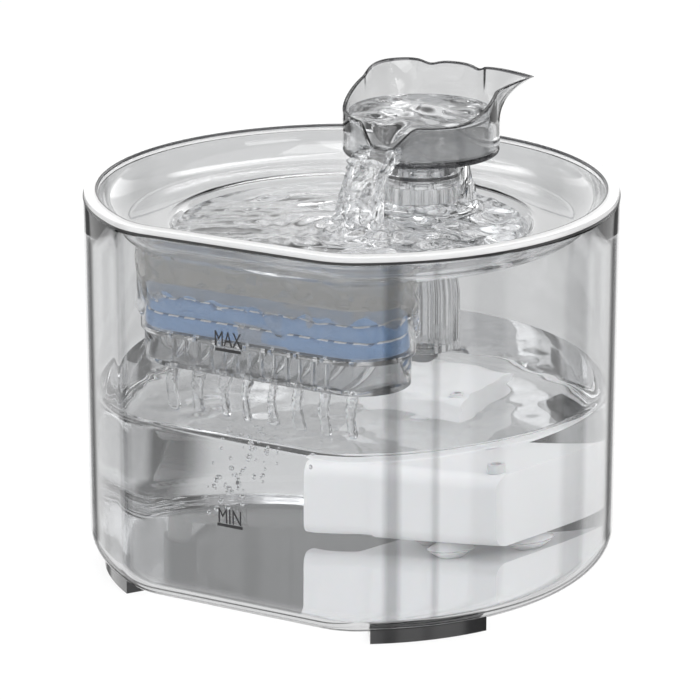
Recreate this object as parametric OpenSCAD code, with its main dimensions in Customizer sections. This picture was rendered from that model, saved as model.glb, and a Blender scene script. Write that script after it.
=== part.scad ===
// Pet water fountain: clear D-shaped tank, lift-off drinking tray, eared pouring cup,
// hanging filter box and a small submerged pump. Millimetres, +Z up, flat front at -Y,
// origin on the floor under the middle of the tank's width and depth.

/* [Tank] */
// Radius of the round part of the tank
tank_r = 95; // [85:1:115]
// Distance from the centre to the flat front
front_d = 86; // [78:1:90]
// Radius of the two vertical front corners
corner_r = 30; // [24:1:34]
// Height of the tank's top edge above the floor
tank_top = 136; // [130:1:165]
// Wall thickness of the tank
tank_wall = 3; // [2:0.1:3.2]
// Height of the tank's underside above the floor
tank_lift = 3; // [2:0.5:5]
// Outer radius of the bottom edge
base_round = 11; // [6:0.5:14]
// Width and depth of the cable notch in the back of the tank's rim
cable_notch = 4; // [3:0.5:4]

/* [Feet] */
// Angle that each foot pad spans
foot_span = 27; // [15:1:35]
// Angle between a foot pad's middle and the side of the tank
foot_angle = 43.5; // [38:0.5:50]
// Height of a foot pad's outer face
foot_h = 5; // [4:0.5:7]

/* [Level marks] */
// Height of the upper level mark
max_mark_z = 100; // [95:1:105]
// Height of the lower level mark
min_mark_z = 37; // [30:1:50]
// Length of a level mark
mark_len = 10; // [6:1:20]

/* [Tray] */
// Thickness of the tray's moulding
tray_wall = 1.6; // [1.4:0.1:2.2]
// Thickness of the rim that rests on the tank
rim_h = 2.5; // [2:0.1:4]
// Inner radius of the curved side of the tray
bowl_round = 12.3; // [10:0.1:14]
// Gap between the tray's skirt and the tank's wall
skirt_gap = 0.4; // [0.3:0.1:1]
// Gap between pieces that lift apart
seat_gap = 0.3; // [0.3:0.05:0.6]
// Radius of the round drinking pool
pool_r = 66; // [60:1:66]
// Depth of the pool below the shelf
pool_depth = 8; // [6:0.5:9]

/* [Cup tower] */
// Distance of the cup's axis behind the centre
tower_y = 52.5; // [48:0.5:54]
// Radius of the seat bore in the top of the tower
seat_r = 15.3; // [14:0.1:17]
// Depth of the top of the tower below the tray's rim
tower_drop = 1.3; // [0:0.1:3]
// Depth of the cup's seat in the top of the tower
seat_depth = 6.5; // [5:0.5:8]
// Height of the riser sleeve's lower end above the pump's housing
sleeve_lift = 23.7; // [23.5:0.1:34]
// Outer radius of the water pipe
pipe_r = 4.95; // [4:0.05:6]
// Height of the water pipe's lower end above the pump's housing
pipe_lift = 15; // [14.5:0.5:20]

/* [Cup] */
// Outer radius of the cup
cup_r = 28.8; // [25:0.1:32]
// Wall thickness of the cup
cup_wall = 2; // [1.4:0.1:2.4]
// Thickness of the cup's base
cup_base_h = 2.6; // [2:0.1:4]
// Height of the pouring lip above the cup's underside
lip_h = 6; // [5:0.5:8]
// Height of the front rim beside the lip
brow_h = 15.5; // [12:0.5:18]
// Height of the back rim
back_h = 29; // [24:0.5:34]
// How far an ear leans out beyond the wall
ear_out = 14.5; // [8:0.5:18]
// How far an ear's tip hangs below the back rim
ear_droop = 3.5; // [0:0.5:6]
// Angle of each ear from the pouring lip
ear_angle = 135; // [120:1:145]
// Angle from an ear's tip to its front end
ear_front = 32; // [20:1:40]
// Angle from an ear's tip to its back end
ear_back = 17; // [12:1:30]

/* [Filter box] */
// Length of the filter box
box_len = 104; // [90:1:106]
// Width of the filter box
box_w = 37.5; // [30:0.5:40]
// Distance of the filter box in front of the centre
box_y = 53.7; // [50:0.1:54]
// Wall thickness of the filter box
box_wall = 1.6; // [1.2:0.1:2]
// Height of the basket that holds the pads
basket_h = 19.6; // [16:0.2:22]
// Height of the drip chamber under the basket
sump_h = 11; // [8:0.5:14]
// Number of drip slots
slot_n = 8; // [4:1:9]
// Distance between drip slots
slot_pitch = 10; // [8:0.5:11]
// Width of a drip slot
slot_w = 3; // [2:0.1:3.5]
// Length of the drip slots in the basket's floor
slot_l = 20; // [10:1:26]

/* [Pump] */
// Distance of the pump's turning axis in front of the cup's axis
outlet_out = 13; // [12:0.5:13.5]
// Width of the pump across its turning axis
pump_w = 43; // [42:1:50]
// Height of the pump's housing
pump_h = 27; // [27:0.5:34]
// Height of the suction cups under the pump
cup_foot_h = 3; // [2:0.5:4]
// Length of the motor housing
motor_len = 29.5; // [25:0.5:32]
// Thickness of the impeller chamber block
volute_len = 10; // [9:0.5:12]
// Depth of the intake cover
cover_len = 6.5; // [6.5:0.5:12]
// Wall thickness of the pump's mouldings
pump_wall = 1.8; // [1.4:0.1:2.4]
// Radius of the ceramic shaft
shaft_r = 1; // [0.8:0.05:1.5]
// Number of impeller blades
blade_n = 6; // [4:1:8]
// Radius of the impeller
impeller_r = 10; // [8.5:0.5:10]

/* [Hidden] */
$fn = 64;

// Clearances
run_gap = 0.05;     // radial gap of a turning fit
plug_gap = 0.1;     // radial gap of a push-in fit
fixed_gap = 0.02;   // radial gap of a pressed pin
pad_gap = 0.1;      // gap between stacked filter pads
through = 1;        // how far a cut runs past a face

// Plan of the tank: a circle cut by a flat front with rounded corners
corner_y = -(front_d - corner_r);
corner_x = sqrt(pow(tank_r - corner_r, 2) - pow(corner_y, 2));
corner_turn = 90 + atan2(corner_y, corner_x);
centre_y = (front_d - tank_r) / 2;

// Tray heights
skirt_in = tank_wall + skirt_gap;
rim_z = tank_top + seat_gap;
crest_z = rim_z + rim_h;
bowl_in = skirt_in + tray_wall + bowl_round;
shelf_z = crest_z - bowl_round;
pool_z = shelf_z - pool_depth;
pool_under = pool_z - tray_wall;
crest_round = 2.2;
rim_inset = 0.2;
tower_top = crest_z - tower_drop;
ledge_z = tower_top - seat_depth;
disc_h = 2.5;
disc_z = ledge_z - disc_h;
sleeve_r = seat_r - seat_gap;

// Pool edge: a convex arc from the shelf, a slope and a concave arc to the floor
edge_r = 3;
foot_r = 6;
edge_lean = 60;
arc_steps = 6;
drain_r = pool_r - 11;
drain_y = 44.5;
drain_l = 18;

// Cup heights
collar_z = ledge_z + seat_gap;
cup_z = tower_top + 2;
collar_top = cup_z - seat_gap;
pipe_top = cup_z - 2;
spigot_r = 9;
spigot_bore = 6;
seal_h = 1.6;
seal_in = 1.2;
spigot_h = 6;
cup_steps = 96;
lip_half = 26;
lip_out = 3;
lean_from = 0.45;

// Filter box heights
basket_top = pool_under - seat_gap;
basket_z = basket_top - basket_h;
sump_z = basket_z - sump_h;
rib_r = 0.7;
rib_pitch = 5;
sump_in = 1.5;
pad_in = box_wall + 0.5;
pad_head = 0.6;
pad_z = basket_z + box_wall + seat_gap;
pad_h = (basket_top - pad_head - pad_z - 2 * pad_gap) / 3;
middle_z = pad_z + pad_h + pad_gap;
core_in = 5;
core_skin = 1;
core_z = middle_z + core_skin;
core_h = pad_h - 2 * core_skin;

// Pump places, measured along its turning axis from the outlet nozzle
pump_z = tank_lift + tank_wall + seat_gap + cup_foot_h;
pump_top = pump_z + pump_h;
pump_round = 5;
volute_y = -volute_len / 2;
motor_y = volute_y + volute_len;
back_y = motor_y + motor_len;
cover_y = volute_y - cover_len;
axis_z = pump_z + pump_h / 2;
plate = 1.5;
cover_in = 0.6;

// Impeller chamber, nozzle and hose
chamber_r = impeller_r + 1.5;
eye_r = chamber_r / 2;
nozzle_top = pump_top + 14;
nozzle_bore = 3.6;
pipe_z = pump_top + pipe_lift;
sleeve_z = pump_top + sleeve_lift;
hose_wall = 1.5;
hose_z = pump_top + 7.5;
hose_top = pipe_z + 8;

// Rotor's well, magnet and bushes
well_r = 7;
well_wall = 1.2;
well_len = 20;
magnet_r = well_r - 1;
magnet_y = motor_y + 0.8;
magnet_len = well_len - 4.5;
bush_r = 3;
bush_len = 3;
bush_bite = 1;
front_bush_y = volute_y - bush_len;
rear_bush_y = motor_y + well_len - bush_len;
shaft_y = volute_y - bush_bite;
shaft_end = motor_y + well_len - 0.5;
hub_r = 4;
hub_y = volute_y + plate + 0.6;
blade_len = 5.5;
blade_t = 1.2;
blade_in = 2;

// Stator: a slotted core with one limb through the winding
limb = 5;
core_len = 12;
core_y = motor_y + pump_wall + 3;
core_bore = well_r + well_wall + plug_gap;
core_x = -pump_w / 2 + pump_wall + 2;
window_h = 2 * core_bore - 5;

// Intake cover, sponge and dial
dial_r = 8;
dial_h = 1.3;
dial_y = cover_y - seat_gap - dial_h;
pin_r = 1.6;
port_r = 1.6;
port_in = 5;
grip_t = 2;
slit_n = 4;
slit_w = 1.2;
slit_pitch = 2.4;
slit_end = 6;
sponge_y = cover_y + pump_wall + seat_gap;
sponge_len = cover_len - pump_wall - 2 * seat_gap - pad_gap;

clear_c = [0.82, 0.85, 0.87, 0.35];
smoke_c = [0.55, 0.57, 0.60, 0.45];
dark_c = [0.12, 0.12, 0.13];
blue_c = [0.36, 0.52, 0.74];
white_c = [0.95, 0.95, 0.95];
grey_c = [0.45, 0.46, 0.48];
copper_c = [0.72, 0.42, 0.22];

// ---------- helpers ----------

// Puts a piece drawn round the tank's own centre into the part's frame
module placed() {
    translate([0, centre_y, 0]) children();
}

// Puts a piece drawn round the cup's axis into the part's frame
module on_tower() {
    translate([0, centre_y + tower_y, 0]) children();
}

// Puts a piece drawn round the filter box's middle into the part's frame
module on_box() {
    translate([0, centre_y - box_y, 0]) children();
}

// Puts a piece drawn along the pump's own +Y into the part's frame, where that way is +X
module on_pump() {
    translate([0, centre_y + tower_y - outlet_out, 0]) rotate([0, 0, -90]) children();
}

// Puts a piece drawn round the pump's turning axis into the part's frame
module on_shaft() {
    on_pump() translate([0, 0, axis_z]) children();
}

// Carries a profile round the plan: x is the distance outside the plan curve, y the height
module plan_sweep() {
    rotate_extrude(angle = 360 - 2 * corner_turn, start = corner_turn - 90, $fn = 96)
        translate([tank_r, 0]) children();
    for (side = [0, 1])
        mirror([side, 0, 0])
            translate([corner_x, corner_y, 0])
                rotate_extrude(angle = corner_turn, start = -90, $fn = 96)
                    translate([corner_r, 0]) children();
    translate([corner_x, -front_d, 0])
        rotate([90, 0, -90])
            linear_extrude(2 * corner_x) children();
}

// A flat plate that fills the plan curve, drawn in by an inset
module plan_plate(inset, h) {
    rotate_extrude(angle = 360 - 2 * corner_turn, start = corner_turn - 90, $fn = 96)
        square([tank_r - inset, h]);
    for (side = [0, 1])
        mirror([side, 0, 0])
            translate([corner_x, corner_y, 0])
                rotate_extrude(angle = corner_turn, start = -90, $fn = 96)
                    square([corner_r - inset, h]);
    linear_extrude(h)
        polygon([
            [0, 0], [corner_x, corner_y], [corner_x, inset - front_d],
            [-corner_x, inset - front_d], [-corner_x, corner_y]
        ]);
}

// A quarter ring that opens down and out from its centre
module quarter_ring(outer, inner) {
    intersection() {
        difference() {
            circle(r = outer);
            circle(r = inner);
        }
        translate([0, -outer]) square(outer);
    }
}

// A rectangle with half-round ends
module stadium(len, width) {
    square([len - width, width], center = true);
    for (side = [-1, 1])
        translate([side * (len - width) / 2, 0]) circle(r = width / 2);
}

// A ring standing on z
module ring(outer, inner, z, h) {
    translate([0, 0, z])
        difference() {
            cylinder(r = outer, h = h);
            translate([0, 0, -through]) cylinder(r = inner, h = h + 2 * through);
        }
}

// A cylinder that runs along +Y from y
module along_y(r, y, len) {
    translate([0, y, 0]) rotate([-90, 0, 0]) cylinder(r = r, h = len);
}

// A rectangle with round corners
module rounded_rect(width, h, round) {
    square([width - 2 * round, h], center = true);
    square([width, h - 2 * round], center = true);
    for (sx = [-1, 1], sy = [-1, 1])
        translate([sx * (width / 2 - round), sy * (h / 2 - round)]) circle(r = round, $fn = 32);
}

// A bar along +Y from y with the pump's outline, drawn in by an inset
module pump_bar(y, len, inset, round) {
    on_pump()
        translate([0, y + len, pump_z + pump_h / 2])
            rotate([90, 0, 0])
                linear_extrude(len) rounded_rect(pump_w - 2 * inset, pump_h - 2 * inset, round);
}

// Points on an arc about a centre
function arc(centre, r, from, to) =
    [for (i = [0:arc_steps]) let (a = from + (to - from) * i / arc_steps)
        centre + r * [cos(a), sin(a)]];

// Eases from 0 to 1
function smooth(t) = t <= 0 ? 0 : t >= 1 ? 1 : t * t * (3 - 2 * t);

// ---------- tank ----------

module tank() {
    wall_h = tank_top - tank_lift - base_round;
    color(clear_c) placed()
        difference() {
            union() {
                plan_sweep() {
                    translate([-tank_wall, tank_lift + base_round]) square([tank_wall, wall_h]);
                    translate([-base_round, tank_lift + base_round])
                        quarter_ring(base_round, base_round - tank_wall);
                }
                translate([0, 0, tank_lift]) plan_plate(base_round, tank_wall);
            }
            translate([-cable_notch / 2, tank_r - tank_wall - through, tank_top - cable_notch])
                cube([cable_notch, tank_wall + 2 * through, cable_notch + through]);
        }
}

// Four soft arcs under the tank's rounded bottom edge
module foot_pads() {
    pad_w = 12;
    rise = base_round + tank_lift - foot_h;
    face_in = base_round - sqrt(pow(base_round, 2) - pow(rise, 2));
    color(dark_c) placed()
        for (turn = [foot_angle, 180 - foot_angle, 180 + foot_angle, 360 - foot_angle])
            rotate([0, 0, turn])
                rotate_extrude(angle = foot_span, start = -foot_span / 2, $fn = 96)
                    translate([tank_r, 0])
                        difference() {
                            translate([-face_in - pad_w, 0]) square([pad_w, foot_h]);
                            translate([-base_round, tank_lift + base_round])
                                circle(r = base_round + run_gap);
                            translate([-face_in - pad_w - through, tank_lift - run_gap])
                                square([face_in + pad_w + through - base_round, foot_h]);
                        }
}

// The two level lines on the flat front
module level_marks() {
    mark_h = 1;
    mark_t = 0.2;
    color(dark_c) placed()
        for (z = [min_mark_z, max_mark_z])
            translate([-mark_len / 2, -front_d - mark_t, z]) cube([mark_len, mark_t, mark_h]);
}

// ---------- tray ----------

module tray() {
    floor_cut = tray_wall + 2 * through;
    color(clear_c) placed()
        difference() {
            union() {
                plan_sweep() rim_profile();
                translate([0, 0, shelf_z - tray_wall])
                    difference() {
                        plan_plate(bowl_in, tray_wall);
                        translate([0, 0, -through])
                            cylinder(r = pool_r, h = tray_wall + 2 * through, $fn = 96);
                    }
                rotate_extrude($fn = 96) pool_profile();
                translate([0, tower_y, 0]) rotate_extrude() tower_profile();
            }
            translate([0, tower_y, pool_under - through])
                cylinder(r = seat_r, h = tower_top - pool_under + 2 * through);
            translate([0, 0, pool_under - through])
                linear_extrude(floor_cut)
                    intersection() {
                        circle(r = drain_r);
                        translate([0, -drain_y]) slot_row(drain_l);
                    }
        }
}

// A row of slots along X, each running along Y
module slot_row(len) {
    for (i = [0:slot_n - 1])
        translate([(i - (slot_n - 1) / 2) * slot_pitch, 0]) rotate(90) stadium(len, slot_w);
}

// Rim that rests on the tank, and the curved side below it
module rim_profile() {
    flat_in = skirt_in + tray_wall;
    crest_in = crest_round + rim_inset;
    translate([-flat_in, rim_z]) square([flat_in - crest_in, rim_h]);
    translate([-crest_in, rim_z]) square([crest_round, rim_h - crest_round]);
    translate([-crest_in, crest_z - crest_round])
        intersection() {
            circle(r = crest_round);
            square(crest_round);
        }
    translate([-bowl_in, crest_z]) quarter_ring(bowl_round + tray_wall, bowl_round);
}

// Section of the round pool, from its edge at the shelf to its floor
module pool_profile() {
    lean = 90 + edge_lean;
    edge_c = [pool_r, shelf_z - edge_r];
    edge_end = edge_c + edge_r * [cos(lean), sin(lean)];
    foot_c_z = pool_z + foot_r;
    foot_end = foot_r * [cos(lean - 180), sin(lean - 180)];
    slope_run = (edge_end[1] - foot_c_z - foot_end[1]) / tan(edge_lean);
    foot_c = [edge_end[0] - slope_run - foot_end[0], foot_c_z];
    polygon(concat(
        [[0, pool_under], [0, pool_z]],
        arc(foot_c, foot_r, -90, lean - 180),
        arc(edge_c, edge_r, lean, 90),
        arc(edge_c, edge_r - tray_wall, 90, lean),
        arc(foot_c, foot_r + tray_wall, lean - 180, -90)
    ));
}

// Section of the hollow tower that the cup plugs into
module tower_profile() {
    in = seat_r - through;
    polygon([
        [in, pool_under], [seat_r + 5.2, pool_under], [seat_r + 5.2, pool_z],
        [seat_r + 8.5, pool_z], [seat_r + 6.1, pool_z + 2], [seat_r + 4.8, pool_z + 6],
        [seat_r + 2, tower_top - 0.6], [seat_r + 1.4, tower_top], [in, tower_top]
    ]);
}

// Wide clear sleeve round the pipe, pushed up into the tower
module riser_sleeve() {
    color(clear_c) on_tower() ring(sleeve_r, sleeve_r - tray_wall, sleeve_z, disc_z - sleeve_z);
}

// Pipe from the pump's hose to the cup, with the disc that the collar stands on
module water_pipe() {
    pipe_wall = 1.2;
    color(clear_c) on_tower()
        difference() {
            union() {
                translate([0, 0, disc_z]) cylinder(r = seat_r - plug_gap, h = disc_h);
                translate([0, 0, pipe_z]) cylinder(r = pipe_r, h = pipe_top - pipe_z);
            }
            translate([0, 0, pipe_z - through])
                cylinder(r = pipe_r - pipe_wall, h = pipe_top - pipe_z + 2 * through);
        }
}

// ---------- cup ----------

// Clear collar that plugs into the tower; the cup turns in it
module cup_collar() {
    groove_r = seat_r - plug_gap - seal_in;
    color(clear_c) on_tower()
        difference() {
            translate([0, 0, collar_z]) cylinder(r = seat_r - plug_gap, h = collar_top - collar_z);
            translate([0, 0, collar_z - through])
                cylinder(r = spigot_r + run_gap, h = collar_top - collar_z + 2 * through);
            ring(seat_r, groove_r, collar_z - through, seal_h + through);
        }
}

// Soft ring in the groove at the collar's foot
module seal_ring() {
    outer = seat_r - plug_gap;
    color(dark_c) on_tower()
        ring(outer, outer - seal_in + run_gap, collar_z, seal_h - run_gap);
}

// Base of the cup with the hollow spigot under it
module cup_base() {
    nose = cup_base_h / 2;
    color(smoke_c) on_tower()
        difference() {
            union() {
                rotate_extrude() {
                    translate([0, cup_z]) square([cup_r - nose, cup_base_h]);
                    translate([cup_r - nose, cup_z + nose]) circle(r = nose, $fn = 24);
                }
                translate([0, 0, cup_z - spigot_h]) cylinder(r = spigot_r, h = spigot_h + nose);
            }
            translate([0, 0, cup_z - spigot_h - through])
                cylinder(r = spigot_bore, h = spigot_h + cup_base_h + 2 * through);
        }
}

// Share of an ear's lean at an angle from the lip: 1 at its tip, 0 beyond its ends
function ear_at(a) =
    pow(max(0, 1 - abs(a - ear_angle) / (a < ear_angle ? ear_front : ear_back)), 1.3);

// Height of the rim above the cup's underside at an angle from the lip
function rim_h_at(a) =
    lip_h + (brow_h - lip_h) * smooth(a / lip_half)
    + (back_h - brow_h) * smooth((a - 50) / 90) - ear_droop * ear_at(a);

// How far the rim leans out at an angle from the lip
function rim_out_at(a) = lip_out * (1 - smooth(a / lip_half)) + ear_out * ear_at(a);

// One closed section of the cup's wall at an angle from the lip
function cup_section(a) =
    let (z0 = cup_z + cup_base_h,
         h = rim_h_at(a) - cup_base_h,
         outer = [for (t = [0, lean_from, 0.65, 0.83, 1])
             [cup_r + rim_out_at(a) * pow(max(0, (t - lean_from) / (1 - lean_from)), 1.5),
              z0 + h * t]],
         inner = [for (i = [4:-1:0]) outer[i] - [cup_wall, 0]])
    concat(outer, inner);

// Eared wall of the cup, open at the top
module cup() {
    turn = 360 / cup_steps;
    sections = [for (i = [0:cup_steps - 1]) cup_section(min(i, cup_steps - i) * turn)];
    n = len(sections[0]);
    points = [for (i = [0:cup_steps - 1], p = sections[i])
        [p[0] * sin(turn * i), -p[0] * cos(turn * i), p[1]]];
    faces = [for (i = [0:cup_steps - 1], j = [0:n - 1])
        let (i2 = (i + 1) % cup_steps, j2 = (j + 1) % n,
             a = i * n + j, b = i2 * n + j, c = i2 * n + j2, d = i * n + j2)
        each [[a, d, c], [a, c, b]]];
    color(smoke_c) on_tower() polyhedron(points, faces, convexity = 6);
}

// ---------- filter box ----------

// Upper box that holds the pads, with slots in its floor
module filter_basket() {
    color(clear_c) on_box()
        difference() {
            translate([0, 0, basket_z]) linear_extrude(basket_h) stadium(box_len, box_w);
            translate([0, 0, basket_z + box_wall])
                linear_extrude(basket_h) stadium(box_len - 2 * box_wall, box_w - 2 * box_wall);
            translate([0, 0, basket_z - through])
                linear_extrude(box_wall + 2 * through) slot_row(slot_l);
        }
}

// Drip chamber with ribbed sides and slots in its floor
module filter_sump() {
    sump_len = box_len - 2 * sump_in;
    sump_w = box_w - 2 * sump_in;
    rib_n = floor((sump_len - sump_w) / 2 / rib_pitch);
    color(clear_c) on_box()
        difference() {
            translate([0, 0, sump_z])
                linear_extrude(sump_h) {
                    stadium(sump_len, sump_w);
                    for (i = [-rib_n:rib_n], side = [-1, 1])
                        translate([i * rib_pitch, side * sump_w / 2]) circle(r = rib_r, $fn = 16);
                }
            translate([0, 0, sump_z + box_wall])
                linear_extrude(sump_h) stadium(sump_len - 2 * box_wall, sump_w - 2 * box_wall);
            translate([0, 0, sump_z - through])
                linear_extrude(box_wall + 2 * through) slot_row(sump_w - 4 * box_wall);
        }
}

// One pad of the filter's stack
module filter_pad(z) {
    translate([0, 0, z])
        linear_extrude(pad_h) stadium(box_len - 2 * pad_in, box_w - 2 * pad_in);
}

module filter_pad_lower() {
    color(blue_c) on_box() filter_pad(pad_z);
}

// Middle pad with the pocket that holds the carbon
module filter_pad_middle() {
    color(blue_c) on_box()
        difference() {
            filter_pad(middle_z);
            translate([0, 0, core_z - pad_gap])
                linear_extrude(core_h + 2 * pad_gap) carbon_area(pad_gap);
        }
}

module filter_pad_upper() {
    color(blue_c) on_box() filter_pad(middle_z + pad_h + pad_gap);
}

// Outline of the carbon's pocket, grown by a clearance
module carbon_area(grow) {
    inset = pad_in + core_in - grow;
    stadium(box_len - 2 * inset, box_w - 2 * inset);
}

// Carbon granules sewn into the middle pad
module carbon_core() {
    color(dark_c) on_box() translate([0, 0, core_z]) linear_extrude(core_h) carbon_area(0);
}

// ---------- pump ----------

// Motor housing with the well that the rotor turns in
module pump_shell() {
    color(white_c)
        difference() {
            union() {
                difference() {
                    pump_bar(motor_y, motor_len - plate, 0, pump_round);
                    pump_bar(motor_y + pump_wall, motor_len, pump_wall, pump_round - pump_wall);
                }
                on_shaft() along_y(well_r + well_wall, motor_y, well_len + well_wall);
            }
            on_shaft() along_y(well_r, motor_y - through, well_len + through);
        }
}

// Plate that closes the motor housing
module pump_back() {
    color(white_c) pump_bar(back_y - plate, plate, 0, pump_round);
}

// Laminated U-shaped core that grips the rotor's well
module stator_core() {
    jaw = pump_h / 2 - pump_wall - core_bore - 0.4;
    slot_h = 3;
    reach = core_bore + limb;
    color(grey_c) on_shaft()
        difference() {
            translate([core_x, core_y, -core_bore - jaw])
                cube([reach - core_x, core_len, 2 * (core_bore + jaw)]);
            translate([core_x + limb, core_y - through, -window_h / 2])
                cube([-core_x - limb, core_len + 2 * through, window_h]);
            along_y(core_bore, core_y - through, core_len + 2 * through);
            translate([core_bore - through, core_y - through, -slot_h / 2])
                cube([reach, core_len + 2 * through, slot_h]);
        }
}

// Copper winding round the core's back limb
module stator_coil() {
    wrap = 1.5;
    wind = 0.7;
    inner_y = core_y - pad_gap;
    coil_h = window_h - 2 * pad_gap;
    color(copper_c) on_shaft()
        difference() {
            translate([core_x - wind, core_y - wrap, -coil_h / 2])
                cube([limb + 5 * wind, core_len + 2 * wrap, coil_h]);
            translate([core_x - pad_gap, inner_y, -coil_h])
                cube([limb + 2 * pad_gap, core_len + 2 * pad_gap, 2 * coil_h]);
        }
}

// Impeller chamber with the outlet nozzle on top
module volute() {
    color(white_c)
        difference() {
            union() {
                pump_bar(volute_y, volute_len, 0, pump_round);
                on_tower() translate([0, 0, pump_top]) cylinder(r = pipe_r, h = nozzle_top - pump_top);
            }
            on_shaft() along_y(chamber_r, volute_y + plate, volute_len);
            on_shaft() along_y(eye_r, volute_y - through, plate + 2 * through);
            on_tower() translate([0, 0, axis_z]) cylinder(r = nozzle_bore, h = nozzle_top);
        }
}

// Ceramic pin that the rotor turns on
module rotor_shaft() {
    color(white_c) on_shaft() along_y(shaft_r, shaft_y, shaft_end - shaft_y);
}

// Bridge across the intake that holds the shaft's front end
module front_bush() {
    bar_h = 2.4;
    bar_len = 2 * (eye_r + 2);
    color(dark_c) on_shaft()
        difference() {
            union() {
                along_y(bush_r, front_bush_y, bush_len);
                translate([-bar_len / 2, front_bush_y, -bar_h / 2]) cube([bar_len, bush_len, bar_h]);
            }
            along_y(shaft_r + fixed_gap, shaft_y, bush_len);
        }
}

// Cup at the well's end that holds the shaft's back end
module rear_bush() {
    color(dark_c) on_shaft()
        difference() {
            along_y(bush_r, rear_bush_y, bush_len);
            along_y(shaft_r + fixed_gap, rear_bush_y - through, shaft_end - rear_bush_y + through);
        }
}

// Magnet that the stator turns
module rotor_magnet() {
    color(grey_c) on_shaft()
        difference() {
            along_y(magnet_r, magnet_y, magnet_len);
            along_y(shaft_r + run_gap, magnet_y - through, magnet_len + 2 * through);
        }
}

// Straight-bladed impeller fixed to the front of the magnet
module impeller() {
    color(white_c) on_shaft()
        difference() {
            union() {
                along_y(hub_r, hub_y, magnet_y - hub_y);
                along_y(impeller_r - 2, hub_y + blade_len - pad_gap, blade_t);
                for (i = [0:blade_n - 1])
                    rotate([0, 360 / blade_n * i, 0])
                        translate([-blade_t / 2, hub_y, blade_in])
                            cube([blade_t, blade_len, impeller_r - blade_in]);
            }
            along_y(shaft_r + run_gap, hub_y - through, volute_len + 2 * through);
        }
}

// Intake cover, a little smaller than the housing, that slides off the end of the pump
module pump_cover() {
    front_cut = pump_wall + 2 * through;
    inner_in = cover_in + pump_wall;
    color(white_c)
        difference() {
            pump_bar(cover_y, cover_len - seat_gap, cover_in, pump_round - cover_in);
            pump_bar(cover_y + pump_wall, cover_len, inner_in, pump_round - inner_in);
            on_shaft() {
                for (i = [0:slit_n - 1], side = [-1, 1])
                    translate([side * (dial_r + 2 + i * slit_pitch) - slit_w / 2,
                               cover_y - through, pump_z + slit_end - axis_z])
                        cube([slit_w, front_cut, pump_h - 2 * slit_end]);
                along_y(pin_r + run_gap, cover_y - through, front_cut);
                ports(0, cover_y - through, front_cut);
            }
        }
}

// Two round ports on opposite sides of the shaft's axis
module ports(turn, y, len) {
    for (half = [0, 180])
        rotate([0, turn + half, 0]) translate([0, 0, port_in]) along_y(port_r, y, len);
}

// Foam sheet behind the cover's slits, open round the intake
module intake_sponge() {
    foam_in = cover_in + pump_wall + 0.5;
    color(dark_c)
        difference() {
            pump_bar(sponge_y, sponge_len, foam_in, pump_round - foam_in);
            on_shaft() along_y(eye_r + 3, sponge_y - through, sponge_len + 2 * through);
        }
}

// Dial that turns on the cover to set the flow
module flow_dial() {
    grip_len = 2 * dial_r - 2;
    grip_h = 0.8;
    pin_out = 0.6;
    color(white_c) on_shaft()
        difference() {
            union() {
                along_y(dial_r, dial_y, dial_h);
                along_y(pin_r, dial_y + dial_h / 2, dial_h / 2 + seat_gap + pump_wall + pin_out);
                translate([-grip_t / 2, dial_y - grip_h, -grip_len / 2])
                    cube([grip_t, grip_h + dial_h / 2, grip_len]);
            }
            ports(90, dial_y - through, dial_h + 2 * through);
        }
}

// Soft hose that joins the pump's nozzle to the pipe
module outlet_hose() {
    bore = pipe_r + plug_gap;
    color(grey_c) on_tower() ring(bore + hose_wall, bore, hose_z, hose_top - hose_z);
}

// Four suction cups in a diamond under the motor housing and the impeller chamber
module suction_cups() {
    cup_foot_r = 6;
    spread = pump_w / 2 - cup_foot_r - 1.5;
    color(white_c) on_pump()
        translate([0, (volute_y + back_y) / 2, pump_z - cup_foot_h])
            for (turn = [0:90:270])
                rotate([0, 0, turn])
                    translate([spread, 0, 0])
                        cylinder(r1 = cup_foot_r, r2 = cup_foot_r / 2, h = cup_foot_h);
}

// Gland where the supply lead leaves the motor housing
module cable_gland() {
    edge = 4.5;
    lead_r = 1.5;
    color(white_c) on_pump()
        translate([pump_w / 2 - pump_round - 1, back_y - edge, 0])
            ring(lead_r + 0.9, lead_r, pump_top, 3);
}

tank();
foot_pads();
level_marks();
tray();
riser_sleeve();
water_pipe();
cup_collar();
seal_ring();
cup();
cup_base();
filter_basket();
filter_sump();
filter_pad_lower();
filter_pad_middle();
filter_pad_upper();
carbon_core();
pump_shell();
pump_back();
stator_core();
stator_coil();
volute();
rotor_shaft();
front_bush();
rear_bush();
rotor_magnet();
impeller();
pump_cover();
intake_sponge();
flow_dial();
outlet_hose();
suction_cups();
cable_gland();
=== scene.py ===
import math

import bmesh
import bpy
import numpy as np
from bpy.props import FloatProperty, FloatVectorProperty, IntProperty, PointerProperty
from bpy.types import Operator, Panel, PropertyGroup
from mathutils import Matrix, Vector


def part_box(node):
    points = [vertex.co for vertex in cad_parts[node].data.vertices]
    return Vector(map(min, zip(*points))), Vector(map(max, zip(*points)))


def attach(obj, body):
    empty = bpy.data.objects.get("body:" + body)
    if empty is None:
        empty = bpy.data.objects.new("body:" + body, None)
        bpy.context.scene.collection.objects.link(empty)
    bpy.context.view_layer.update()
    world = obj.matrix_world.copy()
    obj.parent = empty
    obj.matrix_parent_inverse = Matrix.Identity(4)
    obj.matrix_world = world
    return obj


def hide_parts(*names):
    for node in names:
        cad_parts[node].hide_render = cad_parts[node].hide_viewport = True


bl_info = {
    "name": "Pet water fountain",
    "version": (1, 0, 0),
    "blender": (4, 5, 0),
    "location": "View3D > Sidebar > Fountain",
    "description": "Builds the clear shells, filter, pump finishes and running water of a pet fountain",
    "category": "Object",
}

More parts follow.
